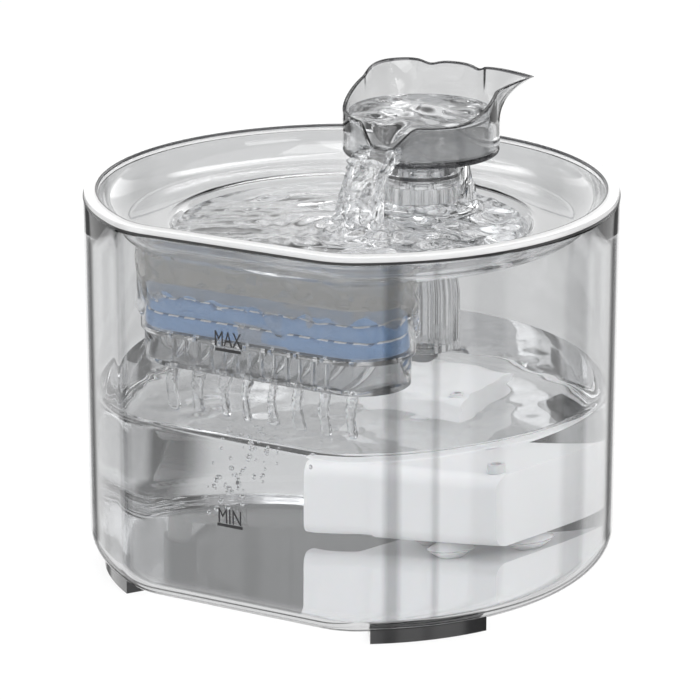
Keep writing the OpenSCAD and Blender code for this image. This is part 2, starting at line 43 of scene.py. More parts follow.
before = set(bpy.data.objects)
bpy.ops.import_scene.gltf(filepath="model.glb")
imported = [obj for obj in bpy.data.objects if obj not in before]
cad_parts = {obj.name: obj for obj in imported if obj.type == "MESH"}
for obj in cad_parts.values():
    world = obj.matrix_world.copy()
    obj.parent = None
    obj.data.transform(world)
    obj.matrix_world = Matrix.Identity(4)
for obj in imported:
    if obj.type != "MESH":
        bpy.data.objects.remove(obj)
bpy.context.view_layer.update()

MM = 0.001
TURN = 2 * math.pi
IMAGE = 700

# ---------- places taken from the frame, in metres ----------

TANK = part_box("tank")
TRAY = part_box("tray")
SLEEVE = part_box("riser_sleeve")
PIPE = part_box("water_pipe")
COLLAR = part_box("cup_collar")
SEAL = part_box("seal_ring")
CUP_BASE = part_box("cup_base")
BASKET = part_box("filter_basket")
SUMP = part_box("filter_sump")
LOWER_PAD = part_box("filter_pad_lower")
UPPER_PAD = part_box("filter_pad_upper")
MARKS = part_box("level_marks")

PLAN_R = TANK[1].x                       # radius of the tank's round part
PLAN_Y = TANK[1].y - PLAN_R              # where that round part is centred
FRONT_D = PLAN_Y - TANK[0].y             # from that centre to the flat front
TOWER_Y = 0.5 * (SLEEVE[0].y + SLEEVE[1].y)
BOX_Y = 0.5 * (BASKET[0].y + BASKET[1].y)
CREST_Z = TRAY[1].z                      # top of the tray's rim
SEAT_R = SLEEVE[1].x + 0.3 * MM          # bore of the tower
CUP_R = CUP_BASE[1].x
BASE_H = 2.6 * MM                        # thickness of the cup's base
CUP_Z = CUP_BASE[1].z - BASE_H           # underside of the cup's base
LIP = (0.0, TOWER_Y - CUP_R - 1.0 * MM)  # where the stream leaves the cup
STREAM_FOOT = (1 * MM, TOWER_Y - 60 * MM)

# ---------- section sizes that the frame's boxes don't give ----------

CORNER_R = 30 * MM
TANK_WALL = 3 * MM
BASE_ROUND = 11 * MM
TRAY_WALL = 1.6 * MM
SKIRT_IN = 3.4 * MM                      # from the plan to the tray's skirt
RIM_H = 2.5 * MM
BOWL_R = 12.3 * MM
POOL_R = 66 * MM
POOL_DEPTH = 8 * MM
TOWER_DROP = 1.3 * MM
SHELF_Z = CREST_Z - BOWL_R
POOL_Z = SHELF_Z - POOL_DEPTH
BOWL_IN = SKIRT_IN + TRAY_WALL + BOWL_R  # from the plan to the foot of the bowl's side
TOWER_Z = CREST_Z - TOWER_DROP
RIM_Z = CREST_Z - RIM_H
WATER_GAP = 0.12 * MM                    # air left between water and what holds it
SLOTS = 8                                # slots in the pool's floor and in the filter box
SLOT_PITCH = 10 * MM
SLOT_W = 3 * MM
MERGE = 1e-6                             # points closer than this are one
WATER_IOR = 1.333


# ---------- settings ----------

class FountainWater(PropertyGroup):
    """Levels and liveliness of the water."""

    tank_level: FloatProperty(
        name="Tank level", description="Height of the water in the tank",
        default=69 * MM, min=0.02, max=0.08, subtype="DISTANCE", unit="LENGTH")
    pool_level: FloatProperty(
        name="Pool level", description="Height of the water in the drinking pool",
        default=SHELF_Z - 2.6 * MM, min=POOL_Z + MM, max=SHELF_Z, subtype="DISTANCE", unit="LENGTH")
    cup_level: FloatProperty(
        name="Cup level", description="Height of the water at the cup's wall",
        default=CUP_Z + 15.2 * MM, min=CUP_Z + 5 * MM, max=CUP_Z + 17 * MM,
        subtype="DISTANCE", unit="LENGTH")
    ripple: FloatProperty(
        name="Ripples", description="Height of the ripples on the drinking pool",
        default=0.62 * MM, min=0.0, max=0.001, subtype="DISTANCE", unit="LENGTH")
    bubbles: IntProperty(
        name="Bubbles", description="How many bubbles hang under the drips", default=62, min=0, max=200)
    seed: IntProperty(
        name="Seed", description="Start of the random draws", default=7, min=0)


class FountainFinish(PropertyGroup):
    """Colours of the mouldings, felt and rubber."""

    tank: FloatVectorProperty(
        name="Tank plastic", description="Tint of the tank",
        subtype="COLOR", default=(0.84, 0.845, 0.85), min=0, max=1)
    clear: FloatVectorProperty(
        name="Clear plastic", description="Tint of the tray, the riser and the filter box",
        subtype="COLOR", default=(0.96, 0.963, 0.966), min=0, max=1)
    sump: FloatVectorProperty(
        name="Drip chamber", description="Tint of the ribbed drip chamber",
        subtype="COLOR", default=(0.76, 0.765, 0.77), min=0, max=1)
    smoke: FloatVectorProperty(
        name="Smoked plastic", description="Tint of the cup",
        subtype="COLOR", default=(0.8, 0.805, 0.81), min=0, max=1)
    base: FloatVectorProperty(
        name="Cup base", description="Tint of the cup's thick base",
        subtype="COLOR", default=(0.8, 0.805, 0.81), min=0, max=1)
    felt: FloatVectorProperty(
        name="Filter felt", description="Colour of the filter pads",
        subtype="COLOR", default=(0.17, 0.30, 0.52), min=0, max=1)
    white: FloatVectorProperty(
        name="Pump white", description="Colour of the pump's mouldings",
        subtype="COLOR", default=(0.92, 0.92, 0.925), min=0, max=1)
    ink: FloatVectorProperty(
        name="Ink", description="Colour of the level marks",
        subtype="COLOR", default=(0.02, 0.02, 0.022), min=0, max=1)


class FountainStage(PropertyGroup):
    """Camera and studio light."""

    azimuth: FloatProperty(
        name="Azimuth", description="Turn of the camera round the tank", default=math.radians(29.0),
        subtype="ANGLE", unit="ROTATION")
    elevation: FloatProperty(
        name="Elevation", description="Height of the camera above the horizon",
        default=math.radians(17.3), subtype="ANGLE", unit="ROTATION")
    distance: FloatProperty(
        name="Distance", description="From the camera to the middle of the tank",
        default=1.3, min=0.3, subtype="DISTANCE", unit="LENGTH")
    light: FloatProperty(
        name="Light", description="Strength of the studio light", default=1.0, min=0.0)


def water():
    """The water settings."""
    return bpy.context.scene.fountain_water


def finish():
    """The finish settings."""
    return bpy.context.scene.fountain_finish


# ---------- mesh helpers ----------

def grid_faces(nu, nv, wrap_v=False):
    """Quads between neighbours of a grid of nu by nv points: u wraps round, v wraps if asked."""
    u = np.arange(nu)[:, None]
    v = np.arange(nv if wrap_v else nv - 1)[None, :]
    next_u, next_v = (u + 1) % nu, (v + 1) % nv
    corners = [(u, v), (next_u, v), (next_u, next_v), (u, next_v)]
    return np.stack([i * nv + j for i, j in corners], axis=-1).reshape(-1, 4)


def clean_mesh(name, points, faces):
    """A mesh from arrays of points and faces: doubled points are merged, empty faces go, and the faces turn
    outwards by the sign of the enclosed volume."""
    mesh = bpy.data.meshes.new(name)
    mesh.from_pydata(points.reshape(-1, 3).tolist(), [], faces.tolist())
    work = bmesh.new()
    work.from_mesh(mesh)
    bmesh.ops.remove_doubles(work, verts=work.verts, dist=MERGE)
    bmesh.ops.dissolve_degenerate(work, edges=work.edges, dist=0.1 * MERGE)
    if work.calc_volume(signed=True) < 0:
        bmesh.ops.reverse_faces(work, faces=work.faces)
    work.to_mesh(mesh)
    work.free()
    return mesh


def closed_mesh(name, points, body, material, replaces=(), wrap_v=False, smooth=35.0):
    """A closed piece from points[u, v]: u wraps round, and v wraps or ends at poles."""
    mesh = clean_mesh(name, points, grid_faces(*points.shape[:2], wrap_v))
    return place(bpy.data.objects.new(name, mesh), body, material, replaces, smooth)


def place(piece, body, material, replaces=(), smooth=35.0):
    """Links a piece, smooths it up to an angle, gives it its material, body, slot and replaced nodes."""
    if piece.name not in bpy.context.scene.collection.objects:
        bpy.context.scene.collection.objects.link(piece)
    mesh = piece.data
    mesh.polygons.foreach_set("use_smooth", np.ones(len(mesh.polygons), bool))
    mesh.set_sharp_from_angle(angle=math.radians(smooth))
    mesh.materials.clear()
    mesh.materials.append(material)
    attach(piece, body)
    if replaces:
        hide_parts(*replaces)
    return piece


def paint(piece, materials, rule):
    """Adds materials to a piece and gives each face the material that the rule picks from its middle: 0 is
    the piece's first."""
    mesh = piece.data
    for material in materials:
        mesh.materials.append(material)
    middles = np.empty(3 * len(mesh.polygons))
    mesh.polygons.foreach_get("center", middles)
    mesh.polygons.foreach_set("material_index", rule(*middles.reshape(-1, 3).T).astype(np.int32))
    mesh.update()


def several(shapes):
    """Points and faces of several closed grids of points, side by side in one mesh."""
    starts = np.cumsum([0] + [shape.shape[0] * shape.shape[1] for shape in shapes])
    faces = [start + grid_faces(*shape.shape[:2]) for start, shape in zip(starts, shapes)]
    return np.concatenate([shape.reshape(-1, 3) for shape in shapes]), np.concatenate(faces)


def cut(piece, shapes):
    """Cuts closed grids of points out of a piece."""
    tool = bpy.data.objects.new("tool", clean_mesh("tool", *several(shapes)))
    bpy.context.scene.collection.objects.link(tool)
    step = piece.modifiers.new("cut", "BOOLEAN")
    step.operation = "DIFFERENCE"
    step.solver = "MANIFOLD"
    step.object = tool
    bpy.context.view_layer.update()
    evaluated = piece.evaluated_get(bpy.context.evaluated_depsgraph_get())
    mesh = bpy.data.meshes.new_from_object(evaluated)
    piece.modifiers.remove(step)
    old = piece.data
    piece.data = mesh
    bpy.data.meshes.remove(old)
    bpy.data.objects.remove(tool)


def smoothstep(t):
    """Eases from 0 to 1: three t squared less two t cubed."""
    t = np.clip(t, 0.0, 1.0)
    return t * t * (3 - 2 * t)


def arc(cx, cz, r, start, end, steps):
    """Points (x, z) on a circle's arc, angles in degrees."""
    a = np.radians(np.linspace(start, end, steps))
    return np.stack([cx + r * np.cos(a), cz + r * np.sin(a)], axis=1)


def path(*parts):
    """Profile parts, each a list of (x, z) points, joined into one array."""
    return np.concatenate([np.atleast_2d(np.asarray(p, float)) for p in parts])


# ---------- the tank's plan ----------

def plan(s):
    """Points and outward normals of the tank's plan at shares s of its length, from the front's middle.

    The plan is a circle of radius PLAN_R cut by a straight front, joined by arcs of CORNER_R that touch
    both. Along each stretch the normal's angle grows with the distance over the stretch's radius.
    """
    cy = -(FRONT_D - CORNER_R)
    cx = math.sqrt((PLAN_R - CORNER_R) ** 2 - cy ** 2)
    turn = math.pi / 2 + math.atan2(cy, cx)
    ends = np.cumsum([0, cx, CORNER_R * turn, PLAN_R * (TURN - 2 * turn), CORNER_R * turn, cx])
    d = np.asarray(s) % 1.0 * ends[-1]
    angle = np.interp(d, ends, np.radians([-90, -90, -90, 270, 270, 270])
                      + np.array([0, 0, turn, -turn, 0, 0]))
    normal = np.stack([np.cos(angle), np.sin(angle)], axis=-1)
    zone = np.searchsorted(ends[1:-1], d, side="right")
    centre_x = np.choose(zone, [d, cx, 0 * d, -cx, d - ends[-1]])
    centre_y = np.where(zone == 2, 0.0, cy) + PLAN_Y
    radius = np.where(zone == 2, PLAN_R, CORNER_R)
    points = np.stack([centre_x, centre_y], axis=-1) + radius[..., None] * normal
    return points, normal


def plan_offset(x, y):
    """How far points lie outside the plan: the flat's, a corner's or the circle's own distance."""
    cy = -(FRONT_D - CORNER_R)
    cx = math.sqrt((PLAN_R - CORNER_R) ** 2 - cy ** 2)
    side, deep = np.abs(x), y - PLAN_Y
    corner = np.hypot(side - cx, deep - cy) - CORNER_R
    round_part = np.hypot(side, deep) - PLAN_R
    off = np.where(cx * deep < cy * side, corner, round_part)
    return np.where((side < cx) & (deep < cy), -deep - FRONT_D, off)


def plan_sweep(profile, steps=480):
    """Carries a profile of (offset from the plan, z) round the plan: point plus offset times normal."""
    points, normal = plan(np.arange(steps) / steps)
    flat = points[:, None, :] + profile[None, :, 0, None] * normal[:, None, :]
    z = np.broadcast_to(profile[None, :, 1, None], flat.shape[:2] + (1,))
    return np.concatenate([flat, z], axis=-1)


def shrunk(ring, shares):
    """Copies of a closed level ring of points, shrunk towards the plan's middle by the given shares."""
    middle = np.array([0.0, PLAN_Y, ring[0, 2]])
    return middle + (ring - middle)[:, None, :] * np.asarray(shares)[None, :, None]


def revolve(profile, x=0.0, y=0.0, steps=128):
    """Turns a profile of (radius, z) round an upright axis."""
    a = np.arange(steps) / steps * TURN
    ring = np.stack([np.cos(a), np.sin(a)], axis=-1)
    flat = profile[None, :, 0, None] * ring[:, None, :] + np.array([x, y])
    z = np.broadcast_to(profile[None, :, 1, None], flat.shape[:2] + (1,))
    return np.concatenate([flat, z], axis=-1)


def stadium(length, width, inset=0.0, steps=240):
    """Points and normals of a rectangle with half-round ends, in order round it."""
    r = width / 2
    straight = length - width
    ends = np.cumsum([0, straight / 2, math.pi * r, straight, math.pi * r, straight / 2])
    d = np.arange(steps) / steps * ends[-1]
    angle = np.interp(d, ends, np.radians([-90, -90, 90, 90, 270, 270]))
    normal = np.stack([np.cos(angle), np.sin(angle)], axis=-1)
    zone = np.searchsorted(ends[1:-1], d, side="right")
    half = straight / 2
    centre = np.choose(zone, [d, half + 0 * d, half - (d - ends[2]), -half + 0 * d, d - ends[-1]])
    points = np.stack([centre, 0 * centre], axis=-1) + (r - inset) * normal
    return points, normal


def stadium_sweep(profile, length, width, x=0.0, y=0.0, steps=240):
    """Carries a profile of (offset, z) round a stadium centred at x, y."""
    points, normal = stadium(length, width, steps=steps)
    flat = points[:, None, :] + profile[None, :, 0, None] * normal[:, None, :] + np.array([x, y])
    z = np.broadcast_to(profile[None, :, 1, None], flat.shape[:2] + (1,))
    return np.concatenate([flat, z], axis=-1)


def waves(x, y, lengths, count, seed, spread=math.pi):
    """Sum of sines over the plane with random directions, phases and lengths between the two given.

    The sum is scaled so that its usual height is 1.
    """
    draw = np.random.default_rng(seed)
    total = np.zeros(np.shape(x))
    for _ in range(count):
        angle = draw.uniform(-spread, spread)
        length = draw.uniform(*lengths)
        phase = draw.uniform(0, TURN)
        total = total + np.sin(TURN * (x * math.cos(angle) + y * math.sin(angle)) / length + phase)
    return total / math.sqrt(count / 2)


# ---------- materials ----------

def add(tree, kind, settings=None, **inputs):
    """A node of a kind with its settings and its inputs, each a value or another node's output."""
    made = tree.nodes.new(kind)
    for name, value in (settings or {}).items():
        setattr(made, name, value)
    for name, value in inputs.items():
        key = int(name[1:]) if name[0] == "i" and name[1:].isdigit() else name.replace("_", " ")
        if isinstance(value, bpy.types.NodeSocket):
            tree.links.new(value, made.inputs[key])
        else:
            made.inputs[key].default_value = value
    return made


def maths(tree, kind, *values):
    """The result of a maths node of a kind on one to three values."""
    return add(tree, "ShaderNodeMath", {"operation": kind},
               **{"i%d" % i: value for i, value in enumerate(values)}).outputs[0]


def mapped(tree, value, start, end, low, high):
    """Maps a value from start to end onto low to high."""
    return add(tree, "ShaderNodeMapRange", i0=value, i1=start, i2=end, i3=low, i4=high).outputs[0]


def blended(tree, share, first, second, kind="MIX"):
    """Two colours blended by a share."""
    return add(tree, "ShaderNodeMix", {"data_type": "RGBA", "blend_type": kind}, i0=share, i6=first,
               i7=second).outputs[2]


def dimmed(tree, colour, share):
    """A colour times a share."""
    return add(tree, "ShaderNodeVectorMath", {"operation": "SCALE"}, i0=colour, Scale=share).outputs[0]


def split(tree, vector):
    """The outputs X, Y and Z of a vector."""
    return add(tree, "ShaderNodeSeparateXYZ", i0=vector).outputs


def object_place(tree):
    """Object coordinates."""
    return add(tree, "ShaderNodeTexCoord").outputs["Object"]


def effect(name, inputs, outputs):
    """An empty shader node group: its inputs are (name, kind, default) and its outputs (name, kind)."""
    group = bpy.data.node_groups.new(name, "ShaderNodeTree")
    for label, kind, default in inputs:
        socket = group.interface.new_socket(label, in_out="INPUT", socket_type=kind)
        socket.default_value = default
    for label, kind in outputs:
        group.interface.new_socket(label, in_out="OUTPUT", socket_type=kind)
    return group, group.nodes.new("NodeGroupInput"), group.nodes.new("NodeGroupOutput")


VALUE, COLOUR = "NodeSocketFloat", "NodeSocketColor"


def surface_effect():
    """Fine surface of a moulding: soft flow waves and a fine grain sway colour, roughness and height."""
    if "moulded surface" in bpy.data.node_groups:
        return bpy.data.node_groups["moulded surface"]
    group, given, out = effect(
        "moulded surface",
        [("Colour", COLOUR, (1, 1, 1, 1)), ("Shade", VALUE, 0.04), ("Roughness", VALUE, 0.1),
         ("Spread", VALUE, 0.05), ("Wave size", VALUE, 60.0), ("Grain size", VALUE, 2500.0),
         ("Grain share", VALUE, 0.3)],
        [("Colour", COLOUR), ("Roughness", VALUE), ("Height", VALUE)])
    place_at = object_place(group)
    flow = add(group, "ShaderNodeTexNoise", Vector=place_at, Scale=given.outputs["Wave size"],
               Detail=1.0).outputs["Fac"]
    grain = add(group, "ShaderNodeTexNoise", Vector=place_at, Scale=given.outputs["Grain size"],
                Detail=3.0).outputs["Fac"]
    both = add(group, "ShaderNodeMix", i0=given.outputs["Grain share"], i2=flow, i3=grain).outputs[0]
    light = maths(group, "SUBTRACT", 1.0, maths(group, "MULTIPLY", both, given.outputs["Shade"]))
    rough = maths(group, "MULTIPLY_ADD", both, given.outputs["Spread"], given.outputs["Roughness"])
    group.links.new(dimmed(group, given.outputs["Colour"], light), out.inputs["Colour"])
    group.links.new(rough, out.inputs["Roughness"])
    group.links.new(both, out.inputs["Height"])
    return group


def new_material(name):
    """An empty node material and its tree."""
    made = bpy.data.materials.new(name)
    made.use_nodes = True
    made.node_tree.nodes.clear()
    return made, made.node_tree


def surface(tree, colour, shade, roughness, spread, wave, grain, share):
    """The moulded surface group placed with its own values."""
    made = add(tree, "ShaderNodeGroup", {"node_tree": surface_effect()})
    values = {"Colour": (*colour, 1), "Shade": shade, "Roughness": roughness, "Spread": spread,
              "Wave size": wave, "Grain size": grain, "Grain share": share}
    for label, value in values.items():
        made.inputs[label].default_value = value
    return made


def painted_shade_strips(tree, colour, shade_strips):
    """Painted shade: a colour darkened in soft upright strips that stand in for dark reflections; each is
    (plan angle, half width, share kept), in degrees.
    """
    at = split(tree, object_place(tree))
    turn = maths(tree, "ARCTAN2", maths(tree, "SUBTRACT", at["Y"], PLAN_Y), at["X"])
    for middle, half, kept in shade_strips:
        off = maths(tree, "ABSOLUTE", maths(tree, "SUBTRACT", turn, math.radians(middle)))
        share = mapped(tree, off, math.radians(0.5 * half), math.radians(1.5 * half), kept, 1.0)
        colour = dimmed(tree, colour, share)
    return colour


def clear(name, tint, ior=1.49, roughness=0.0, spread=0.015, wave=40.0, bump=0.0, shade=0.03, shade_strips=(),
          milk=0.0, share=0.15):
    """Clear plastic or water: glass that lets light pass straight through to what it covers. Milk is the
    share of light that its skin scatters."""
    made, tree = new_material(name)
    skin = surface(tree, tint, shade, roughness, spread, wave, 900.0, share)
    lump = add(tree, "ShaderNodeBump", Strength=bump, Distance=0.001, Height=skin.outputs["Height"])
    # shade strips paint dark upright strips into the tint, in place of dark reflections
    tone = painted_shade_strips(tree, skin.outputs["Colour"], shade_strips) if shade_strips else skin.outputs["Colour"]
    glass = add(tree, "ShaderNodeBsdfPrincipled", Base_Color=tone,
                Roughness=skin.outputs["Roughness"], IOR=ior, Normal=lump.outputs["Normal"])
    glass.inputs["Transmission Weight"].default_value = 1.0 - milk
    straight = add(tree, "ShaderNodeBsdfTransparent", Color=(*(0.85 + 0.15 * c for c in tint), 1))
    ray = add(tree, "ShaderNodeLightPath").outputs
    open_to = maths(tree, "MAXIMUM", ray["Is Shadow Ray"], ray["Is Diffuse Ray"])
    mixed = add(tree, "ShaderNodeMixShader", i0=open_to, i1=glass.outputs[0], i2=straight.outputs[0])
    add(tree, "ShaderNodeOutputMaterial", Surface=mixed.outputs[0])
    return made


def solid(name, colour, roughness, spread=0.08, wave=90.0, grain=2500.0, share=0.4, shade=0.12,
          bump=0.15, metal=0.0, coat=0.0, subsurface=0.0, sheen=0.0):
    """An opaque finish with its grain, shade and bump."""
    made, tree = new_material(name)
    skin = surface(tree, colour, shade, roughness, spread, wave, grain, share)
    lump = add(tree, "ShaderNodeBump", Strength=bump, Distance=0.0004, Height=skin.outputs["Height"])
    body = add(tree, "ShaderNodeBsdfPrincipled", Base_Color=skin.outputs["Colour"],
               Roughness=skin.outputs["Roughness"], Metallic=metal, Normal=lump.outputs["Normal"])
    body.inputs["Coat Weight"].default_value = coat
    body.inputs["Subsurface Weight"].default_value = subsurface
    body.inputs["Subsurface Scale"].default_value = 2 * MM
    body.inputs["Sheen Weight"].default_value = sheen
    add(tree, "ShaderNodeOutputMaterial", Surface=body.outputs[0])
    return made


# ---------- tank ----------

def tank_points():
    """Closed section of the tank carried round its plan: underside, rounded edge, outside, rim, inside,
    inner round and floor."""
    low = TANK[0].z
    mid_z = low + BASE_ROUND
    inner = BASE_ROUND - TANK_WALL
    lip = 0.7 * MM
    top = TANK[1].z
    profile = path(
        arc(-BASE_ROUND, mid_z, BASE_ROUND, -90, 0, 20),
        np.stack([np.zeros(12), np.linspace(mid_z, top - lip, 12)], axis=1)[1:-1],
        arc(-lip, top - lip, lip, 0, 90, 6),
        arc(lip - TANK_WALL, top - lip, lip, 90, 180, 6),
        np.stack([np.full(12, -TANK_WALL), np.linspace(top - lip, mid_z, 12)], axis=1)[1:-1],
        arc(-BASE_ROUND, mid_z, inner, 0, -90, 16),
    )
    wall = plan_sweep(profile)
    shares = np.linspace(0, 1, 10)[:-1]
    under = shrunk(wall[:, 0], shares)
    floor = shrunk(wall[:, -1], shares[::-1])
    return np.concatenate([under, wall, floor], axis=1)


def build_tank():
    """The clear tank, with the notch for the supply lead cut out of the back of its rim."""
    # the two shade strips are painted shade at the front-right corner, standing in for dark reflections
    plastic = clear("clear tank", finish().tank, shade_strips=[(-52.7, 1.5, 0.66), (-43.5, 0.7, 0.75)])
    tank = closed_mesh("tank_shell", tank_points(), "root", plastic, ["tank"])
    notch, through = 4 * MM, 12 * MM
    wide = stadium_sweep(path((0, TANK[1].z - notch), (0, TANK[1].z + notch)), through, notch, steps=48)
    wide = wide[..., [1, 0, 2]] + np.array([0, TANK[1].y - 0.5 * TANK_WALL, 0])
    ends = wide.mean(axis=0, keepdims=True) + 0 * wide
    cut(tank, [np.concatenate([ends[:, :1], wide, ends[:, 1:]], axis=1)])
    place(tank, "root", plastic)


# ---------- tray ----------

def pool_section():
    """Top and underside of the pool's edge as (radius, z): floor, concave foot, slope, convex edge and
    shelf."""
    edge, foot, lean = 3 * MM, 6 * MM, 60
    start = math.radians(90 + lean)
    run = edge * math.cos(start)
    end_z = SHELF_Z - edge + edge * math.sin(start)
    foot_z = POOL_Z + foot
    below = end_z - foot_z + foot * math.cos(math.radians(lean))
    foot_x = POOL_R + run - below / math.tan(math.radians(lean)) - foot * math.sin(math.radians(lean))
    top = path(arc(foot_x, foot_z, foot, -90, lean - 90, 14),
               arc(POOL_R, SHELF_Z - edge, edge, 90 + lean, 90, 10))
    under = path(arc(foot_x, foot_z, foot + TRAY_WALL, -90, lean - 90, 14),
                 arc(POOL_R, SHELF_Z - edge, edge - TRAY_WALL, 90 + lean, 90, 10))
    return top, under


def tower_radius(z):
    """Outer radius of the bell at a height: straight sides that flare at the foot.

    Bore plus 1.9, plus 4.25 times the share of the way down, plus 2.3 times its twelfth power (mm).
    """
    t = np.clip((TOWER_Z - z) / (TOWER_Z - POOL_Z), 0, 1)
    return SEAT_R + (1.9 + 4.25 * t + 2.3 * t ** 12) * MM


def shelf_rays(steps):
    """Points where rays from the tower's axis meet the foot of the bowl's side, and the rays' directions."""
    points, normal = plan(np.arange(steps) / steps)
    foot = points - BOWL_IN * normal
    ray = foot - np.array([0.0, TOWER_Y])
    reach = np.linalg.norm(ray, axis=1)
    return points, normal, ray / reach[:, None], reach


def ring_distance(ray, radius):
    """Distance from the tower's axis along each ray to a circle round the pool's centre."""
    offset = TOWER_Y - PLAN_Y
    along = offset * ray[:, 1]
    root = along ** 2 - offset ** 2 + radius ** 2
    return -along + np.sqrt(np.maximum(root, 0.0))


def tray_inside(ray, reach, section, heights, tower):
    """Grid over the pool, shelf and tower: on each ray the tower's rings and the pool edge's rings are
    sorted by distance, and each point takes the height that the caller's rule gives it."""
    rings = [np.full(len(ray), r) for r in tower]
    rings += [ring_distance(ray, r) for r in section[:, 0]]
    shelf = ring_distance(ray, section[-1, 0])
    rings += [shelf + (reach - shelf) * t for t in (0.25, 0.5, 0.75)]
    stack = np.stack(rings, axis=1)
    order = np.arange(stack.shape[1]) * 1e-7
    stack = np.sort(np.clip(stack, tower[0], reach[:, None]), axis=1) + order
    stack[:, 0] = tower[0]
    stack = np.minimum(stack, reach[:, None])
    xy = ray[:, None, :] * stack[..., None] + np.array([0.0, TOWER_Y])
    from_pool = np.hypot(xy[..., 0], xy[..., 1] - PLAN_Y)
    z = heights(stack, from_pool)
    return np.concatenate([xy, z[..., None]], axis=-1)


def pool_slots():
    """Cutters for the drain slots: a row of stadiums where the pool covers the basket."""
    pool_reach, box_middle, half = 55 * MM, 44.5 * MM, 9 * MM
    slots = []
    for i in range(SLOTS):
        x = (i - (SLOTS - 1) / 2) * SLOT_PITCH
        low = -math.sqrt(pool_reach ** 2 - (abs(x) + 0.5 * SLOT_W) ** 2)
        low = max(low, -(box_middle + half)) + PLAN_Y
        high = -(box_middle - half) + PLAN_Y
        if high - low >= SLOT_W + MM:
            ring, _ = stadium(high - low, SLOT_W, steps=32)
            ring = ring[:, ::-1] * np.array([-1, 1]) + np.array([x, 0.5 * (low + high)])
            slots.append(prism(ring, POOL_Z - 3 * MM, POOL_Z + MM))
    return slots


def build_tray():
    """The drinking tray in one closed skin: rim, bowl side, shelf, round pool and the hollow tower. Its rim
    has a black inner line of painted shade, in place of a dark reflection, and a milky land whose white is a
    painted highlight."""
    points, normal, ray, reach = shelf_rays(480)
    top, under = pool_section()
    bell_z = np.linspace(TOWER_Z - 0.5 * MM, POOL_Z, 22)
    edge = 0.5 * MM
    cap = arc(tower_radius(TOWER_Z) - edge, TOWER_Z - edge, edge, 90, 10, 5)
    foot_r = SEAT_R + 5.2 * MM

    def top_height(r, pool):
        base = np.interp(pool, top[:, 0], top[:, 1])
        bell = np.interp(r, np.append(cap[:, 0], tower_radius(bell_z)), np.append(cap[:, 1], bell_z),
                         left=TOWER_Z, right=-1.0)
        return np.maximum(base, bell)

    def under_height(r, pool):
        base = np.interp(pool, under[:, 0], under[:, 1])
        return np.where(r <= foot_r, POOL_Z - TRAY_WALL, base)

    inner = tray_inside(ray, reach, top, top_height,
                        np.concatenate([[SEAT_R, SEAT_R + 0.4 * MM], cap[:, 0], tower_radius(bell_z)]))
    below = tray_inside(ray, reach, under, under_height,
                        np.array([SEAT_R, foot_r - 0.3 * MM, foot_r, foot_r + 0.02 * MM]))
    crest, nose = 0.6 * MM, 0.5 * MM
    rim_out = -0.2 * MM
    rim_in = -SKIRT_IN - TRAY_WALL
    # size of the black line of painted shade at the rim's inner edge
    shade_line_h, shade_line_w = 0.9 * MM, 0.8 * MM
    outer_r = BOWL_R + TRAY_WALL
    start = math.degrees(math.asin((RIM_Z - CREST_Z) / outer_r))
    side = path(
        arc(-BOWL_IN, CREST_Z, BOWL_R, -90, -4, 26)[1:],
        (rim_in, CREST_Z - shade_line_h),
        arc(rim_in + nose, CREST_Z - nose, nose, 180, 90, 6),
        (rim_in + shade_line_w, CREST_Z),
        arc(rim_out - crest, CREST_Z - crest, crest, 90, 0, 8),
        (rim_out, RIM_Z + 0.15 * MM), (rim_out - 0.15 * MM, RIM_Z),
        arc(-BOWL_IN, CREST_Z, outer_r, start, -90, 26)[:-1],
    )
    skirt = points[:, None, :] + side[None, :, 0, None] * normal[:, None, :]
    z = np.broadcast_to(side[None, :, 1, None], skirt.shape[:2] + (1,))
    skin = np.concatenate([inner, np.concatenate([skirt, z], axis=-1), below[:, ::-1]], axis=1)
    plastic = clear("clear tray", finish().clear)
    tray = closed_mesh("tray_shell", skin, "tray", plastic, ["tray"], wrap_v=True)
    cut(tray, pool_slots())
    place(tray, "tray", plastic)

    # picks the rim's painted shade line (1) and its painted highlight land (2)
    def rim_shade_and_highlight_zones(x, y, z):
        off = plan_offset(x, y)
        slack = 0.05 * MM
        line = (z > CREST_Z - shade_line_h - slack) & (off < rim_in + shade_line_w) & (off > rim_in - 0.6 * MM)
        highlight_land = (z > RIM_Z - 2 * slack) & (off >= rim_in + shade_line_w)
        return line + 2 * highlight_land

    # a black line of painted shade for the rim's dark reflection, and a milky land whose white is a painted
    # highlight
    paint(tray, [clear("rim shade line", (0.015, 0.015, 0.016)),
                 clear("rim highlight land", (0.97, 0.97, 0.97), roughness=0.2, milk=0.6)], rim_shade_and_highlight_zones)


def prism(ring, low, high):
    """Closed upright prism over a ring of points: [u, v] with poles in the middle of both ends."""
    middle = np.broadcast_to(ring.mean(axis=0), ring.shape)
    stack = np.stack([middle, ring, ring, middle], axis=1)
    z = np.broadcast_to(np.array([low, low, high, high])[None, :, None], stack.shape[:2] + (1,))
    return np.concatenate([stack, z], axis=-1)


def build_seam_shadow():
    """Painted shadow of the gap under the tray's rim: a thin black band carried round the plan."""
    low, high = TANK[1].z + 0.05 * MM, RIM_Z + 0.6 * MM
    inside, proud, belly = -0.17 * MM, 0.14 * MM, 0.2 * MM
    band = path((inside, low), (proud, low), (belly, 0.5 * (low + high)), (proud, high), (inside, high))
    # a black band that stands in for the shadow in the gap between tray and tank
    black_finish = solid("seam shadow", (0.015, 0.015, 0.016), 0.3, bump=0.1, coat=0.3)
    closed_mesh("seam_shadow_band", plan_sweep(band), "tray", black_finish, wrap_v=True)


